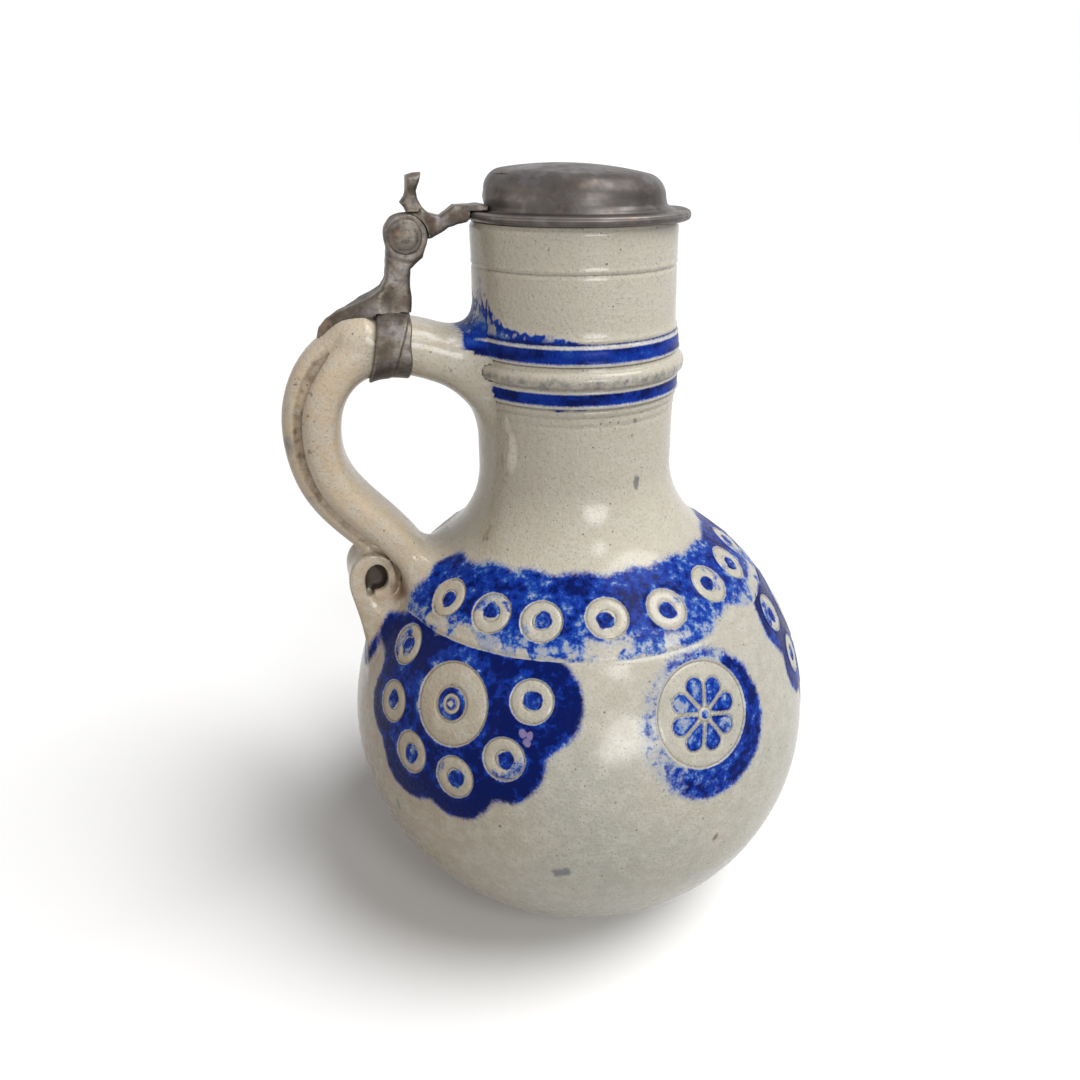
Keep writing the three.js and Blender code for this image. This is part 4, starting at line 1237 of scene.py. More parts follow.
@dataclass
class Lid:
    """The pewter lid: a flange with a rolled edge and a low cushion that sits a little askew.

    The rows of points are [radius, height] steps: from the flange's radius and underside, from its
    radius and top, from the dome's radius and the flange's top.
    """

    radius: float = 34.2
    bottom: float = 242.3
    edge: float = 2.8
    wall: float = 2.0
    dome_radius: float = 27.8
    dome_height: float = 12.6
    dome_shoulder: float = 6.5
    dome_crown: float = 2.0
    shoulder_turn: float = 78.0
    under_edge: Outline = ((-0.9, 0.0), (-0.3, 0.25), (0.0, 0.9))
    upper_edge: Outline = ((0.05, -1.1), (-0.3, -0.35), (-1.0, 0.0), (-2.4, -0.1))
    dome_foot: Outline = ((2.2, -0.15), (1.3, 0.2), (0.75, 1.0), (0.4, 2.2))
    inner_edge: float = 1.6
    inner_bevel: float = 0.6
    askew_turn: float = -104.0
    askew: float = 1.3
    tilt: float = 2.2
    lift: float = 0.4
    settled_height: float = 2.5
    settled_radius: Step = Step(31.0, 28.6)
    dent_size: float = 19.0
    dent_depth: float = 0.2
    pitch: float = 0.7
    sides: int = 260
    dark: Step = Step(0.5, 2.0)
    bright: Step = Step(0.5, 2.0)

    def __post_init__(self) -> None:
        """Works out the flange's top."""
        self.noise = Noise(41)
        self.top = self.bottom + self.edge

    def surface(self) -> Surface:
        """The lid's shell, outside and inside, as one turned surface."""
        outside = []
        for radius, height, steps in (
            (self.radius, self.bottom, self.under_edge),
            (self.radius, self.top, self.upper_edge),
            (self.dome_radius, self.top, self.dome_foot),
        ):
            outside += [(radius + out, height + up) for out, up in steps]
        crown = self.top + self.dome_height
        outside += self._cushion(self.dome_radius, crown)
        inner = self.dome_radius - self.wall
        bevel = self.inner_bevel
        inside = [(self.radius - self.inner_edge, self.bottom)]
        inside += [(inner + bevel, self.bottom), (inner, self.bottom + bevel)]
        inside += self._cushion(inner, crown - self.wall)
        surface = lathe("lid_shell", self._dense(np.array(inside[::-1] + outside)), self.sides)
        self._settle(surface)
        return surface.wear(95, self.dark, self.bright)

    def _cushion(self, radius: float, crown: float) -> list[tuple[float, float]]:
        """The dome's side, rounded shoulder and gently rising top.

        Formula: a quarter round, then a parabola that rises to the crown near the axis.
        """
        bend = self.dome_shoulder
        middle, height = radius - bend, crown - self.dome_crown - bend
        turns = np.radians(np.linspace(0.0, self.shoulder_turn, 16))
        shoulder = [(middle + bend * math.cos(a), height + bend * math.sin(a)) for a in turns]
        side, low = shoulder[-1]
        rests = 1.0 - np.linspace(0.0, 1.0, 14)[1:]
        top = [(side * rest + 0.2 * (1.0 - rest), crown - (crown - low) * rest**2) for rest in rests]
        return shoulder + top

    def _dense(self, outline: Array) -> Array:
        """The outline with points at most one pitch apart."""
        length = np.concatenate([[0.0], np.cumsum(np.linalg.norm(np.diff(outline, axis=0), axis=1))])
        even = np.unique(np.concatenate([length, np.arange(0.0, length[-1], self.pitch)]))
        return np.stack([np.interp(even, length, outline[:, k]) for k in range(2)], axis=1)

    def _settle(self, surface: Surface) -> None:
        """Moves and tilts the cushion on its flange and adds soft dents."""
        points = surface.points
        share = smooth(points[:, 2], self.top, self.top + self.settled_height)
        share = share * self.settled_radius.at(np.hypot(points[:, 0], points[:, 1]))
        toward = heading(self.askew_turn)
        along = points[:, :2] @ toward
        points[:, 2] += share * (along * math.tan(math.radians(self.tilt)) + self.lift)
        points[:, :2] += share[:, None] * self.askew * toward
        push = self.dent_depth * self.noise.at(*points.T, self.dent_size)
        points += surface.normals() * push[:, None]


@dataclass
class Mount:
    """The pewter of the hinge: strap, bracket, pin, caps, tang and thumbpiece.

    Outlines are [out, height] points in the handle's plane, and a box is its lowest and highest
    corner.
    """

    handle: Handle
    lid: Lid
    hinge_out: float = 53.3
    hinge_height: float = 238.4
    hinge_width: float = 12.0
    ring_count: int = 5
    ring_radius: float = 6.3
    ring_edge: float = 0.7
    pin_radius: float = 1.6
    pin_sides: int = 32
    running_gap: float = 0.35

    bracket_box: Outline = ((-86.0, -11.0, 202.0), (-44.0, 11.0, 248.0))
    bracket_outline: Outline = (
        (50.4, 243.6), (47.2, 239.4), (48.6, 232.6), (52.6, 229.4), (52.9, 222.0), (53.2, 216.0),
        (54.0, 206.0), (80.6, 206.0), (81.6, 209.6), (80.8, 212.6), (78.6, 214.9), (74.6, 217.2),
        (69.6, 219.6), (64.8, 221.9), (61.6, 223.8), (60.0, 226.6), (59.3, 234.0), (58.3, 240.6),
    )
    saddle_flare: Step = Step(58.0, 63.0, 2.0)
    tail_taper: Step = Step(63.0, 82.0, -5.6)
    foot_flare: Step = Step(222.0, 214.0, 1.2)
    foot_side: Step = Step(66.0, 60.0)
    tail_start: float = 63.0
    tail_arch: Triple = (64.0, 216.0, 0.0235)
    saddle_room: Triple = (52.0, 64.4, 2.3)

    strap_box: Outline = ((-72.0, -16.0, 186.0), (-48.0, 16.0, 222.0))
    strap_inner: Outline = ((51.9, 231.9), (56.116, 187.9))
    strap_outer: Outline = ((60.7, 231.9), (68.996, 187.9))
    strap_seam: Outline = ((58.2, 206.0), (57.84, 207.0))
    strap_seam_step: Step = Step(-0.4, 0.4, 0.35)
    strap_thickness: float = 1.9
    strap_thinning: Step = Step(206.0, 199.0, -0.9)

    tang_box: Outline = ((-61.0, -8.0, 230.0), (-26.0, 8.0, 251.0))
    tang_outline: Outline = (
        (52.5, 244.6), (51.0, 238.0), (47.2, 237.6), (45.4, 237.9), (42.6, 239.3), (40.4, 240.7),
        (38.4, 241.2), (35.0, 241.9), (33.6, 243.4), (28.7, 245.2), (28.7, 246.6), (31.0, 246.9),
        (36.2, 246.9), (38.6, 246.8), (40.6, 245.3), (42.9, 243.9), (45.8, 244.7), (48.4, 246.4),
        (49.6, 244.9),
    )
    tang_width: float = 3.9
    tang_saddle: Step = Step(43.5, 48.0, 2.1)
    tang_fork: Step = Step(37.0, 31.0, 2.2)
    flange_gaps: Pair = (0.15, 0.2)

    thumb_box: Outline = ((-57.0, -7.5, 243.5), (-42.0, 7.5, 258.0))
    thumb_outline: Outline = (
        (52.3, 244.9), (53.0, 246.4), (54.1, 247.6), (52.6, 249.4), (52.1, 251.2), (51.9, 253.4),
        (51.9, 255.0), (49.6, 255.7), (47.6, 255.8), (48.4, 253.0), (49.2, 250.9), (48.9, 248.6),
        (47.8, 246.5), (46.4, 244.9),
    )
    thumb_width: float = 3.5
    thumb_top: Step = Step(249.5, 253.5, 2.0)
    thumb_foot: Step = Step(247.0, 245.0, 0.8)
    thumb_corner: Step = Step(253.8, 255.9)
    thumb_corner_inset: float = 1.6

    cap_box: Outline = ((-59.5, 5.4, 232.0), (-47.0, 9.6, 245.0))
    cap_radius: float = 5.0
    cap_shift: Pair = (0.3, 0.2)
    cap_seat: float = 0.15
    cap_dome: Pair = (5.4, 2.0)
    cap_edge: float = 0.2
    cap_crease: Hump = Hump(3.9, 0.6, -0.16)
    dark: Step = Step(0.25, 1.6)
    bright: Step = Step(0.4, 2.0)

    def __post_init__(self) -> None:
        """Works out the width of one ring."""
        self.noise = Noise(31)
        gaps = self.ring_count - 1
        self.ring_width = (self.hinge_width - gaps * self.running_gap) / self.ring_count

    @staticmethod
    def plate(outline: Outline, x: Array, z: Array) -> Array:
        """Signed distance from a polygon in the handle's plane.

        Args:
            outline: the polygon's [out, height] points.
            x: first coordinates, minus the distances out.
            z: heights.
        Returns:
            The distances, negative inside.
        """
        corners = np.array(outline, dtype=float)
        out, height = np.broadcast_arrays(-x, z)
        nearest = np.full(out.shape, np.inf)
        sign = np.ones(out.shape)
        for (ax, az), (bx, bz) in zip(corners, np.roll(corners, -1, axis=0)):
            ex, ez = bx - ax, bz - az
            px, pz = out - ax, height - az
            share = np.clip((px * ex + pz * ez) / (ex * ex + ez * ez), 0.0, 1.0)
            nearest = np.minimum(nearest, (px - share * ex) ** 2 + (pz - share * ez) ** 2)
            above, below = height >= az, height < bz
            left = ex * pz > ez * px
            flip = (above & below & left) | (~above & ~below & ~left)
            sign = np.where(flip, -sign, sign)
        return sign * np.sqrt(nearest)

    @staticmethod
    def slanted(ends: Outline, z: Array) -> Array:
        """How far out a slanted edge lies at some heights, from two of its [out, height] points."""
        (out, height), (other_out, other_height) = ends
        return out + (z - height) * (other_out - out) / (other_height - height)

    def _radial(self, x: Array, z: Array) -> Array:
        """Distance from the hinge's axis."""
        return np.hypot(-x - self.hinge_out, z - self.hinge_height)

    def _middle(self, number: int) -> float:
        """Where a ring's middle lies along the hinge."""
        pace = self.ring_width + self.running_gap
        return -self.hinge_width / 2 + number * pace + self.ring_width / 2

    def rings(self, x: Array, y: Array, z: Array, first: int) -> Array:
        """Signed distance from the hinge's rings numbered first, first + 2 and so on."""
        radial = self._radial(x, z)
        found = np.full(np.broadcast_shapes(x.shape, y.shape, z.shape), FAR)
        for i in range(first, self.ring_count, 2):
            side = np.abs(y - self._middle(i)) - self.ring_width / 2
            found = np.minimum(found, blend_max(radial - self.ring_radius, side, self.ring_edge))
        return np.maximum(found, self.pin_radius + self.running_gap / 2 - radial)

    def room(self, x: Array, y: Array, z: Array, first: int) -> Array:
        """Signed distance from the space that the other leaf's rings need, open past the ends."""
        half = self.ring_width / 2 + self.running_gap
        found = np.full(y.shape, FAR)
        for i in range(first, self.ring_count, 2):
            low = self._middle(i) - half if i > 0 else -FAR
            high = self._middle(i) + half if i < self.ring_count - 1 else FAR
            found = np.minimum(found, np.maximum(low - y, y - high))
        return np.maximum(found, self._radial(x, z) - self.ring_radius - self.running_gap)

    def cast(self, x: Array, y: Array, z: Array) -> Array:
        """Dents and pits of an old casting, in millimetres."""
        return 0.22 * self.noise.at(x, y, z, 4.5) + 0.1 * self.noise.at(x, y, z, 1.4)

    def _worn(self, surface: Surface) -> Surface:
        """Adds how hollow and how worn each place is."""
        return surface.wear(92, self.dark, self.bright)

    def bracket(self, pitch: float) -> Surface:
        """Three rings, the shank, the saddle on the strap and the tail along the handle's arch."""
        grid = Grid(*self.bracket_box, pitch)
        x, y, z = grid.axes()
        out = -x
        wide = self.hinge_width / 2 + self.saddle_flare.at(out) + self.tail_taper.at(out)
        wide = wide + self.foot_flare.at(z) * self.foot_side.at(out)
        body = blend_max(self.plate(self.bracket_outline, x, z), np.abs(y) - wide, 2.2)
        values = blend_min(body, self.rings(x, y, z, 0), 1.0)
        values = blend_max(values, -self.room(x, y, z, 1), 0.4)
        bar = self.handle.bar(x, y, z)
        middle, height, bend = self.tail_arch
        arch = height - bend * (out - middle) ** 2
        values = blend_max(values, np.where(out > self.tail_start, arch - z, -9.0), 0.8)
        inner, outer, thickness = self.saddle_room
        strap_top = np.maximum(bar - thickness, np.maximum(out - outer, inner - out))
        values = np.maximum(np.maximum(values, -strap_top), 0.15 - bar) + self.cast(x, y, z)
        return self._worn(grid.surface("bracket_casting", values))

    def strap(self, pitch: float) -> Surface:
        """The band around the handle, with the step of its lap seam."""
        grid = Grid(*self.strap_box, pitch)
        x, y, z = grid.axes()
        bar = self.handle.bar(x, y, z)
        out = -x
        ragged = 0.35 * self.noise.at(x, y, z, 6.0)
        inner = self.slanted(self.strap_inner, z) - out
        sides = np.maximum(inner, out - self.slanted(self.strap_outer, z)) + ragged
        step = self.strap_seam_step.at(out - self.slanted(self.strap_seam, z))
        thick = self.strap_thickness + self.strap_thinning.at(z)
        values = np.maximum(bar - thick - step * (y < 0), 0.2 - bar)
        values = blend_max(values, sides, 0.8) + 0.5 * self.cast(x, y, z)
        return self._worn(grid.surface("strap_band", values))

    def tang(self, pitch: float) -> Surface:
        """Two rings, the saddle and the forked arm that holds the lid's flange."""
        grid = Grid(*self.tang_box, pitch)
        x, y, z = grid.axes()
        narrow = self.tang_width + self.tang_saddle.at(-x) + self.tang_fork.at(-x)
        body = blend_max(self.plate(self.tang_outline, x, z), np.abs(y) - narrow, 1.4)
        values = blend_min(body, self.rings(x, y, z, 1), 0.8)
        values = blend_max(values, -self.room(x, y, z, 0), 0.4)
        lid = self.lid
        beside, over = self.flange_gaps
        level = np.abs(z - lid.bottom - lid.edge / 2) - lid.edge / 2 - over
        flange = np.maximum(np.hypot(x, y) - lid.radius - beside, level)
        values = np.maximum(values, -flange) + 0.8 * self.cast(x, y, z)
        return self._worn(grid.surface("tang_casting", values))

    def thumb(self, pitch: float) -> Surface:
        """The thumbpiece with its spur and its wider, rounded top."""
        grid = Grid(*self.thumb_box, pitch)
        x, y, z = grid.axes()
        wide = self.thumb_width + self.thumb_top.at(z) + self.thumb_foot.at(z)
        wide = wide - self.thumb_corner_inset * self.thumb_corner.at(z) ** 2
        values = blend_max(self.plate(self.thumb_outline, x, z), np.abs(y) - wide, 1.2)
        return self._worn(grid.surface("thumb_lift", values + 0.5 * self.cast(x, y, z)))

    def cap(self, name: str, side: int, pitch: float) -> Surface:
        """A domed cap with a crease near its edge, on the pin's end of the given side.

        Formula: under the dome's ellipse over the seat, and within the radius.
        """
        low, high = np.array(self.cap_box)
        ends = sorted((side * low[1], side * high[1]))
        grid = Grid((low[0], ends[0], low[2]), (high[0], ends[1], high[2]), pitch)
        x, y, z = grid.axes()
        shift_out, shift_up = self.cap_shift
        radial = self._radial(x + shift_out, z - shift_up)
        proud = side * y - self.hinge_width / 2 - self.cap_seat
        radius, height = self.cap_dome
        dome = height * np.sqrt(np.clip(1.0 - (radial / radius) ** 2, 0.0, 1.0))
        dome = dome + self.cap_edge + self.cap_crease.at(radial)
        values = blend_max(np.maximum(-proud, proud - dome), radial - self.cap_radius, 0.5)
        return self._worn(grid.surface(name, values + 0.9 * self.cast(x, y, z)))

    def pin(self) -> Surface:
        """The plain pin inside the rings, turned around the jug's axis and laid on the hinge's."""
        half = self.hinge_width / 2 + 0.1
        radius, middle = self.pin_radius, 0.05 * self.pin_radius
        rows = np.array([(middle, -half), (radius, -half), (radius, half), (middle, half)])
        pin = lathe("pin_rod", rows, self.pin_sides)
        side, back, along = pin.points.T
        pin.points = np.stack([-self.hinge_out - back, along, self.hinge_height - side], axis=1)
        return pin


class Signal:
    """A value or colour in a node tree that takes part in formulas."""

    def __init__(self, nodes: Nodes, socket: bpy.types.NodeSocket) -> None:
        """Wraps an output socket."""
        self.nodes = nodes
        self.socket = socket

    def _math(self, operation: str, other: Signal | float) -> Signal:
        """A Math node of this value and another one."""
        return self.nodes.signal(0, "Math", {"operation": operation}, {0: self, 1: other})

    def __add__(self, other: Signal | float) -> Signal:
        """The sum."""
        return self._math("ADD", other)

    __radd__ = __add__

    def __mul__(self, other: Signal | float) -> Signal:
        """The product."""
        return self._math("MULTIPLY", other)

    __rmul__ = __mul__

    def __sub__(self, other: Signal | float) -> Signal:
        """The difference."""
        return self._math("SUBTRACT", other)

    def __rsub__(self, other: float) -> Signal:
        """A number less this value."""
        return self * -1.0 + other

    def most(self, other: Signal | float) -> Signal:
        """The larger of two values."""
        return self._math("MAXIMUM", other)

    def ramp(self, low: float, high: float, start: float = 0.0, end: float = 1.0) -> Signal:
        """Runs from start at low to end at high along an S-shaped curve and stays there outside."""
        limits = {"From Min": low, "From Max": high, "To Min": start, "To Max": end}
        shape = {"interpolation_type": "SMOOTHSTEP"}
        return self.nodes.signal("Result", "MapRange", shape, {"Value": self, **limits})


Settings = dict[str, str]
Sockets = dict[str | int, Signal | float | Colour]


class Nodes:
    """A node tree and the method that adds nodes to it."""

    def __init__(self, tree: bpy.types.NodeTree) -> None:
        """Takes over the tree and empties it."""
        self.tree = tree
        self.tree.nodes.clear()

    def add(
        self, kind: str, settings: Settings | None = None, sockets: Sockets | None = None
    ) -> bpy.types.Node:
        """Adds a node.

        Args:
            kind: the node's type without its usual beginning.
            settings: the node's settings, which are set first.
            sockets: the values or links of its sockets, by their names or places.
        Returns:
            The node.
        """
        node = self.tree.nodes.new("ShaderNode" + kind)
        for key, value in (settings or {}).items():
            setattr(node, key, value)
        for key, value in (sockets or {}).items():
            socket = node.inputs[key]
            if isinstance(value, Signal):
                self.tree.links.new(value.socket, socket)
            else:
                socket.default_value = (*value, 1.0) if socket.type == "RGBA" else value
        return node

    def signal(
        self, output: str | int, kind: str, settings: Settings | None = None, sockets: Sockets | None = None
    ) -> Signal:
        """Adds a node and gives one of its outputs, by its name or place."""
        return Signal(self, self.add(kind, settings, sockets).outputs[output])

    def seen(self) -> Signal:
        """1 on rays from the camera, from a mirror or through glass, and 0 on the others."""
        rays = self.add("LightPath").outputs
        camera, glossy, through = (
            Signal(self, rays[f"Is {name} Ray"]) for name in ("Camera", "Glossy", "Transmission")
        )
        return camera.most(glossy).most(through)


@dataclass(frozen=True)
class Layer:
    """A colour that covers another where a value runs from low to high, up to a strength."""

    low: float
    high: float
    strength: float
    colour: Colour


class Palette(Nodes):
    """Nodes of one material: coordinates, noises, attributes, colour mixes and the shader."""

    def __init__(self, name: str) -> None:
        """Adds the material with its coordinates."""
        self.material = bpy.data.materials.new(name)
        self.material.use_nodes = True
        super().__init__(self.material.node_tree)
        self.place = self.signal("Object", "TexCoord")

    def noise(self, size: float, detail: float = 3.0, rough: float = 0.55, flat: float = 1.0) -> Signal:
        """Noise about 0 to 1 with features of a size in millimetres; flat stretches it sideways."""
        place = self.place
        if flat != 1.0:
            scale = (1.0 / flat, 1.0 / flat, 1.0)
            place = self.signal("Vector", "Mapping", None, {"Scale": scale, "Vector": place})
        shape = {"Scale": 1.0 / (size * MM), "Detail": detail, "Roughness": rough}
        return self.signal("Fac", "TexNoise", None, {"Vector": place, **shape})

    def dots(self, size: float) -> Signal:
        """Distance from scattered points, as a share of their mean spacing in millimetres."""
        scale = 1.0 / (size * MM)
        return self.signal("Distance", "TexVoronoi", None, {"Vector": self.place, "Scale": scale})

    def attribute(self, name: str) -> Signal:
        """A painted value of the mesh, 0 where the mesh has none."""
        return self.signal("Fac", "Attribute", {"attribute_name": name})

    def axis(self, which: str) -> Signal:
        """One object coordinate in millimetres."""
        return self.signal(which, "SeparateXYZ", None, {0: self.place}) * (1.0 / MM)

    def mix(self, share: Signal, first: Signal | Colour, second: Signal | Colour) -> Signal:
        """A colour between two others by a share from 0 to 1."""
        return self.signal(2, "Mix", {"data_type": "RGBA"}, {"Factor": share, 6: first, 7: second})

    def cover(self, under: Signal, value: Signal, layer: Layer, mask: Signal | None = None) -> Signal:
        """A colour with a layer over it.

        Args:
            under: the colour.
            value: what the layer's limits are compared with.
            layer: the layer.
            mask: a share that the layer's own is multiplied with.
        Returns:
            The new colour.
        """
        share = value.ramp(layer.low, layer.high)
        if mask is not None:
            share = share * mask
        return self.mix(share * layer.strength, under, layer.colour)

    def bump(self, height: Signal, distance: float, strength: float) -> Signal:
        """A normal bent by a height between 0 and 1 that stands for a distance in millimetres."""
        sockets = {"Strength": strength, "Distance": distance * MM, "Height": height}
        return self.signal("Normal", "Bump", None, sockets)

    def finish(self, **inputs: Signal | float) -> bpy.types.Material:
        """Adds the Principled shader with inputs named by words joined with underscores."""
        sockets = {key.replace("_", " "): value for key, value in inputs.items()}
        self.add("OutputMaterial", None, {0: self.signal(0, "BsdfPrincipled", None, sockets)})
        return self.material


@dataclass(frozen=True)
class Stoneware:
    """Grey-beige clay under salt glaze, with cobalt blue where the mesh says so.

    The clay runs from grey to beige by broad noise and carries small dark and brown specks. It is
    warmer and darker towards the handle, partly its own tint and partly painted shade, paler
    upwards and up to the rim as painted light, and paler on the neck's fillets. The smudge, rust
    and line colours also lay painted shade in the handle's grooves, cleft, eye and root and under
    the neck's ridge. The blue's edge is the painted amount moved by fine noise, and its colour
    runs from pale through cobalt to a dark violet with the painted depth.
    """

    name: str = "stoneware_glaze"
    grey: Colour = (0.375, 0.365, 0.315)
    beige: Colour = (0.415, 0.39, 0.32)
    handle_side: Pair = (-22.0, -74.0)
    # warmer and darker towards the handle: partly the clay's own tint and partly painted shade of the side
    # turned away from the key lamp
    warm: Colour = (0.36, 0.27, 0.17)
    # painted light: the clay turns paler from the lower to the upper height, brightening shoulder and neck
    upper_heights: Pair = (105.0, 150.0)
    upper: Colour = (0.52, 0.465, 0.37)
    upper_warm: Colour = (0.6, 0.48, 0.34)
    upper_strength: float = 0.6
    # painted light: the neck paler from 196 mm up, where the lid's flange keeps the key lamp off
    rim: Layer = Layer(196.0, 222.0, 0.3, (0.62, 0.58, 0.49))
    mottled: Layer = Layer(-0.1, 0.14, 0.5, (0.5, 0.48, 0.42))
    grained: Layer = Layer(0.48, 0.7, 0.4, (0.25, 0.225, 0.18))
    pitted: Layer = Layer(0.24, 0.06, 0.65, (0.15, 0.125, 0.095))
    pale: Colour = (0.62, 0.61, 0.57)
    pale_strength: float = 0.65
    speck: Layer = Layer(0.13, 0.06, 0.85, (0.07, 0.05, 0.035))
    # grey of smudges, and of the painted shade on the neck's ridge
    smudge: Layer = Layer(0.12, 0.9, 0.8, (0.11, 0.12, 0.135))
    # brown of rust spots and the handle's wear, and of painted shade in its grooves, cleft and root
    rust: Layer = Layer(0.15, 0.9, 0.85, (0.15, 0.085, 0.04))
    # dark brown of incised lines, and of painted shade in the handle's grooves, cleft and eye
    line: Layer = Layer(0.2, 1.3, 0.97, (0.055, 0.042, 0.032))
    lilac: Layer = Layer(0.3, 0.9, 0.8, (0.25, 0.2, 0.36))
    wash: Colour = (0.1, 0.19, 0.43)
    pale_blue: Colour = (0.03, 0.1, 0.36)
    cobalt: Colour = (0.005, 0.03, 0.27)
    violet: Colour = (0.001, 0.007, 0.085)
    blue_line: Layer = Layer(0.3, 1.0, 0.65, (0.006, 0.009, 0.045))
    specular: float = 0.03
    coat_roughness: float = 0.17

    def build(self) -> bpy.types.Material:
        """The material."""
        p = Palette(self.name)
        mottle = p.noise(4.5, 5.0, 0.65)
        grain = p.noise(0.8, 3.0, 0.65)
        pits = p.dots(1.25)
        line = p.attribute("line")
        clay = self._clay(p, mottle, grain, pits)
        clay = self._stained(p, clay, mottle, grain, line)
        edge = p.attribute("blue") + (grain - 0.5) * 0.6 + (mottle - 0.5) * 0.4
        streak = p.noise(3.0, 4.0, 0.62)
        bold = p.axis("Z").ramp(178.0, 188.0, 2.1, 0.7)
        depth = p.attribute("depth") + (streak - 0.5) * bold + (grain - 0.5) * 0.5
        depth = depth - edge.ramp(0.9, 0.4) * 0.25
        cover = edge.ramp(0.12, 0.85) * depth.ramp(-0.1, 0.3, 0.4, 1.0)
        colour = p.mix(cover, clay, self._blue(p, depth, line))
        lilac = p.attribute(Stain.LILAC.value) * (grain * 0.8 + 0.6)
        peel = p.noise(1.3, 2.0, 0.5) * 0.75 + grain * 0.25 - pits.ramp(0.25, 0.05) * 0.3
        return p.finish(
            Base_Color=p.cover(colour, lilac, self.lilac),
            Roughness=p.noise(9.0, 3.0).ramp(0.35, 0.7, 0.22, 0.36),
            Specular_IOR_Level=self.specular,
            Coat_Weight=cover.ramp(0.0, 1.0, 0.5, 0.06),
            Coat_Roughness=self.coat_roughness,
            Normal=p.bump(peel, 0.34, 0.9),
        )

    def _clay(self, p: Palette, mottle: Signal, grain: Signal, pits: Signal) -> Signal:
        """The bare clay's colour, with painted shade towards the handle and painted light upwards."""
        clay = p.mix(p.noise(30.0, 4.0).ramp(0.3, 0.7), self.grey, self.beige)
        # partly painted shade: the clay turns warmer and darker towards the handle's side
        warm = p.axis("X").ramp(*self.handle_side)
        clay = p.mix(warm * (mottle * 0.6 + 0.5), clay, self.warm)
        # painted light: a paler clay upwards, warmer on the handle's side
        upper = p.mix(warm, self.upper, self.upper_warm)
        height = p.axis("Z")
        clay = p.mix(height.ramp(*self.upper_heights) * self.upper_strength, clay, upper)
        # painted light: paler towards the rim
        clay = p.cover(clay, height, self.rim)
        clay = p.cover(clay, mottle - 0.5, self.mottled)
        clay = p.cover(clay, grain, self.grained)
        return p.cover(clay, pits, self.pitted, mottle.ramp(0.42, 0.6))

    def _stained(self, p: Palette, clay: Signal, mottle: Signal, grain: Signal, line: Signal) -> Signal:
        """The clay with its pale fillets, specks, stains and dark lines, some of which carry painted shade.
        """
        clay = p.mix(p.attribute("pale") * self.pale_strength, clay, self.pale)
        clay = p.cover(clay, p.dots(3.1), self.speck, p.noise(7.0).ramp(0.48, 0.6))
        clay = p.cover(clay, p.attribute(Stain.SMUDGE.value) * (grain * 0.9 + 0.45), self.smudge)
        clay = p.cover(clay, p.attribute(Stain.RUST.value) * (mottle + 0.5), self.rust)
        return p.cover(clay, line * (grain * 0.6 + 0.6), self.line)

    def _blue(self, p: Palette, depth: Signal, line: Signal) -> Signal:
        """The blue's colour at a depth, darker in the pressed lines."""
        blue = p.mix(depth.ramp(0.0, 0.3), self.wash, self.pale_blue)
        blue = p.mix(depth.ramp(0.2, 0.48), blue, self.cobalt)
        blue = p.mix(depth.ramp(0.5, 0.85), blue, self.violet)
        return p.cover(blue, line, self.blue_line)


@dataclass(frozen=True)
class Pewter:
    """Old pewter: dark metal with a brown patina by noise, darker in hollows and brighter on edges.

    The relief is how rough the casting is, about 1 for smooth.
    """

    name: str
    base: Colour
    patina: Colour
    roughness: float
    relief: float
    ochre: Colour = (0.24, 0.14, 0.085)
    cool: Colour = (0.15, 0.14, 0.15)
    grime: Colour = (0.04, 0.034, 0.028)
    line: Colour = (0.02, 0.016, 0.013)
    worn: Colour = (0.36, 0.33, 0.29)
    metallic: float = 0.72

    def build(self) -> bpy.types.Material:
        """The material."""
        p = Palette(self.name)
        broad = p.noise(9.0, 5.0, 0.62)
        fine = p.noise(1.6, 4.0, 0.6)
        colour = p.mix(broad.ramp(0.38, 0.66), self.base, self.patina)
        for value, layer in (
            (p.noise(6.0, 4.0, 0.6), Layer(0.58, 0.72, 0.2 + 0.1 * self.relief, self.ochre)),
            (p.noise(5.0, 4.0, 0.6, flat=1.5), Layer(0.5, 0.66, 0.5, self.cool)),
            (fine, Layer(0.5, 0.66, 0.1 + 0.13 * self.relief, self.grime)),
        ):
            colour = p.cover(colour, value, layer)
        colour = p.mix(p.attribute("line") * 0.65, colour, self.line)
        colour = p.mix(p.attribute("worn") * 0.35, colour, self.worn)
        scratch = p.noise(0.7, 2.0, 0.6, flat=6.0)
        return p.finish(
            Base_Color=colour,
            Roughness=broad.ramp(0.3, 0.75, self.roughness - 0.06, self.roughness + 0.14),
            Metallic=self.metallic,
            Normal=p.bump(fine * 0.7 + scratch * 0.3, 0.1 * self.relief, 0.6),
        )


@dataclass(frozen=True)
class Lamp:
    """A far light: where it comes from and its angular width in degrees, its strength and colour."""

    name: str
    turn: float
    rise: float
    width: float
    strength: float
    colour: Colour = (1.0, 1.0, 1.0)

    def build(self) -> None:
        """Adds the lamp as a sun."""
        data = bpy.data.lights.new(self.name, "SUN")
        data.energy = self.strength
        data.angle = math.radians(self.width)
        data.color = self.colour
        lamp = bpy.data.objects.new(self.name, data)
        x, y = heading(self.turn)
        rise = math.radians(self.rise)
        toward = Vector((x * math.cos(rise), y * math.cos(rise), math.sin(rise)))
        lamp.location = toward
        lamp.rotation_euler = (-toward).to_track_quat("-Z", "Y").to_euler()
        bpy.context.collection.objects.link(lamp)


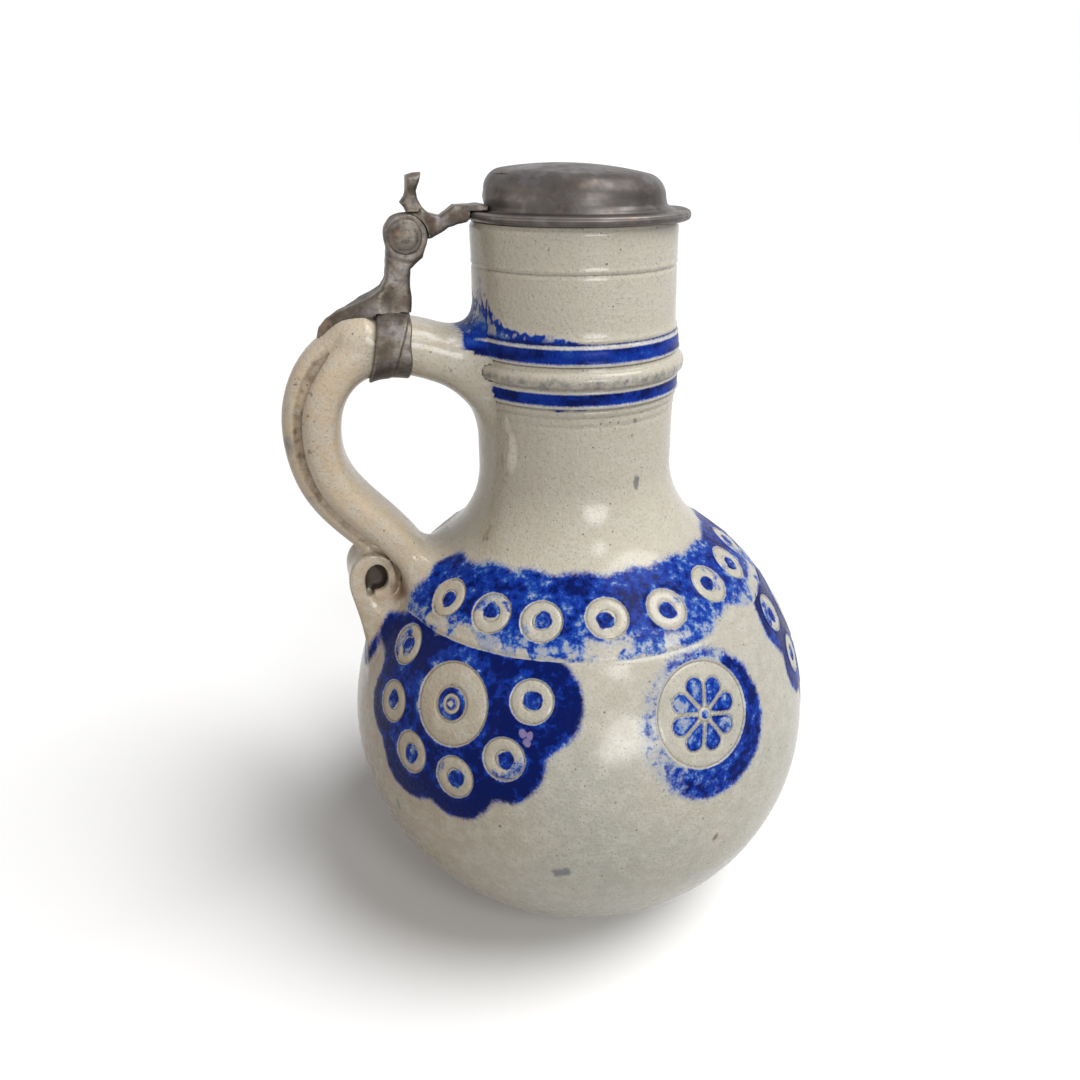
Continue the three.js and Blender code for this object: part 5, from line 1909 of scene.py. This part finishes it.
@dataclass(frozen=True)
class Studio:
    """Camera, lamps, floor and sky of the photograph.

    The camera looks down by its pitch and to the right of the Y axis by its aim, in degrees. Sky
    and floor are white where they are seen, and the shares of white that light the jug are given.
    """

    place: Triple = (-71.4, -286.4, 264.3)
    pitch: float = 23.8
    aim: float = 14.0
    lens: float = 30.23
    sensor: float = 36.0
    shift: float = -0.0361
    nearest: float = 0.01
    sky: float = 0.14
    lamps: tuple[Lamp, ...] = (
        Lamp("key", 62.0, 57.0, 38.0, 2.85),
        Lamp("front", 9.0, 5.0, 26.0, 2.0),
        Lamp("sparkle", 12.0, 43.0, 12.0, 0.35),
        Lamp("fill", -82.0, 6.0, 60.0, 0.65, (1.0, 0.84, 0.68)),
    )
    floor_size: float = 30.0
    floor_bounce: float = 0.25

    def build(self) -> None:
        """Adds everything that isn't part of the object."""
        scene = bpy.context.scene
        scene.view_settings.view_transform = "Standard"
        data = bpy.data.cameras.new("camera")
        data.lens = self.lens
        data.sensor_width = self.sensor
        data.shift_x = self.shift
        data.clip_start = self.nearest
        camera = bpy.data.objects.new("camera", data)
        camera.location = Vector(self.place) * MM
        camera.rotation_euler = (math.radians(90.0 - self.pitch), 0.0, math.radians(-self.aim))
        bpy.context.collection.objects.link(camera)
        scene.camera = camera
        scene.world = self._world()
        self._floor()
        for lamp in self.lamps:
            lamp.build()

    def _world(self) -> bpy.types.World:
        """An even sky, white where it is seen and weaker as a light."""
        world = bpy.data.worlds.new("sky")
        world.use_nodes = True
        nodes = Nodes(world.node_tree)
        strength = nodes.seen() * (1.0 - self.sky) + self.sky
        white = {"Color": (1.0, 1.0, 1.0), "Strength": strength}
        nodes.add("OutputWorld", None, {0: nodes.signal(0, "Background", None, white)})
        return world

    def _floor(self) -> None:
        """A wide floor, white where it is seen and grey as a reflector, that keeps the jug's shadow."""
        size = self.floor_size
        corners = [(-size, -size, 0.0), (size, -size, 0.0), (size, size, 0.0), (-size, size, 0.0)]
        mesh = bpy.data.meshes.new("floor")
        mesh.from_pydata(corners, [], [(0, 1, 2, 3)])
        floor = bpy.data.objects.new("floor", mesh)
        bpy.context.collection.objects.link(floor)
        p = Palette("floor_white")
        colour = p.mix(p.seen(), (self.floor_bounce,) * 3, (1.0, 1.0, 1.0))
        mesh.materials.append(p.finish(Base_Color=colour, Roughness=1.0, Specular_IOR_Level=0.0))


@dataclass
class Jug:
    """All pieces of the object, each tied to its CAD body, node and slot.

    The clay's outside is cut into sectors of columns at two heights, so that each mesh stays small,
    and each pitch is the spacing of a piece's mesh in millimetres.
    """

    body: Body = field(default_factory=Body)
    sectors: int = 6
    columns: int = 216
    first_turn: float = -120.0
    belly_low: float = 66.0
    belly_high: float = 150.0
    low_pitch: float = 1.2
    belly_pitch: float = 0.4
    neck_pitch: float = 0.55
    handle_pitch: float = 0.55
    casting_pitch: float = 0.3
    tang_pitch: float = 0.22
    small_pitch: float = 0.2

    def __post_init__(self) -> None:
        """Sets up the sub-assemblies and the materials, with a coarseness of 1 for the pitches."""
        self.coarse = 1.0
        self.handle = Handle(self.body)
        self.lid = Lid()
        self.mount = Mount(self.handle, self.lid)
        lid_metal = Pewter("lid_metal", (0.084, 0.076, 0.071), (0.056, 0.046, 0.042), 0.42, 0.1)
        mount_metal = Pewter("mount_metal", (0.145, 0.126, 0.106), (0.074, 0.056, 0.041), 0.5, 3.4)
        self.looks = {
            Finish.STONEWARE: Stoneware().build(),
            Finish.LID_PEWTER: lid_metal.build(),
            Finish.MOUNT_PEWTER: mount_metal.build(),
        }

    def add(self, surface: Surface, finish: Finish, body: str, node: str) -> None:
        """Puts a surface into the scene.

        Args:
            surface: the piece.
            finish: its material slot.
            body: the CAD body that it moves with.
            node: the CAD node that it stands for.
        """
        made = surface.to_object(self.looks[finish])
        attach(made, body)
        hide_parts(node)

    def build(self) -> None:
        """Adds the clay, the mount and the lid."""
        self._clay()
        metal = Finish.MOUNT_PEWTER
        mount = self.mount
        fine = self.casting_pitch * self.coarse
        small = self.small_pitch * self.coarse
        self.add(mount.strap(fine), metal, "jug", "handle_strap")
        self.add(mount.bracket(fine), metal, "jug", "hinge_bracket")
        self.add(mount.pin(), metal, "jug", "hinge_pin")
        self.add(mount.cap("cap_near", -1, small), metal, "jug", "pin_cap_near")
        self.add(mount.cap("cap_far", 1, small), metal, "jug", "pin_cap_far")
        self.add(mount.tang(self.tang_pitch * self.coarse), metal, "lid_assembly", "lid_tang")
        self.add(mount.thumb(small), metal, "lid_assembly", "thumbpiece")
        self.add(self.lid.surface(), Finish.LID_PEWTER, "lid_assembly", "lid")

    def _clay(self) -> None:
        """Adds the body's skin, inside and foot, and the handle."""
        body = self.body
        part = int(self.columns / self.coarse)
        turns = np.linspace(self.first_turn, self.first_turn + 360.0, self.sectors * part + 1)
        low = body.outline(body.heel_height, self.belly_low, self.low_pitch * self.coarse)
        belly = body.outline(self.belly_low, self.belly_high, self.belly_pitch * self.coarse)
        neck = body.outline(self.belly_high, body.rim_height, self.neck_pitch * self.coarse)
        skins = [body.skin("body_low", turns, low)]
        for i in range(self.sectors):
            piece = turns[i * part : (i + 1) * part + 1]
            skins.append(body.skin(f"belly_{i + 1}", piece, belly))
        for i in range(0, self.sectors, 2):
            piece = turns[i * part : (i + 2) * part + 1]
            skins.append(body.skin(f"neck_{i // 2 + 1}", piece, neck))
        for skin in (*skins, body.inside(), body.foot()):
            self.add(skin, Finish.STONEWARE, "jug", "jug_body")
        handle = self.handle.surface(self.handle_pitch * self.coarse)
        self.add(handle, Finish.STONEWARE, "jug", "jug_handle")


def plain(box: Sequence[Sequence[float]]) -> list[list[float]]:
    """A box's lowest and highest corners as lists of numbers in metres."""
    return [[float(value) for value in corner] for corner in box]


def main() -> None:
    """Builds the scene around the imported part."""
    logging.basicConfig(level=logging.INFO, format="%(name)s: %(message)s")
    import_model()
    Jug().build()
    Studio().build()


if __name__ == "__main__":
    main()
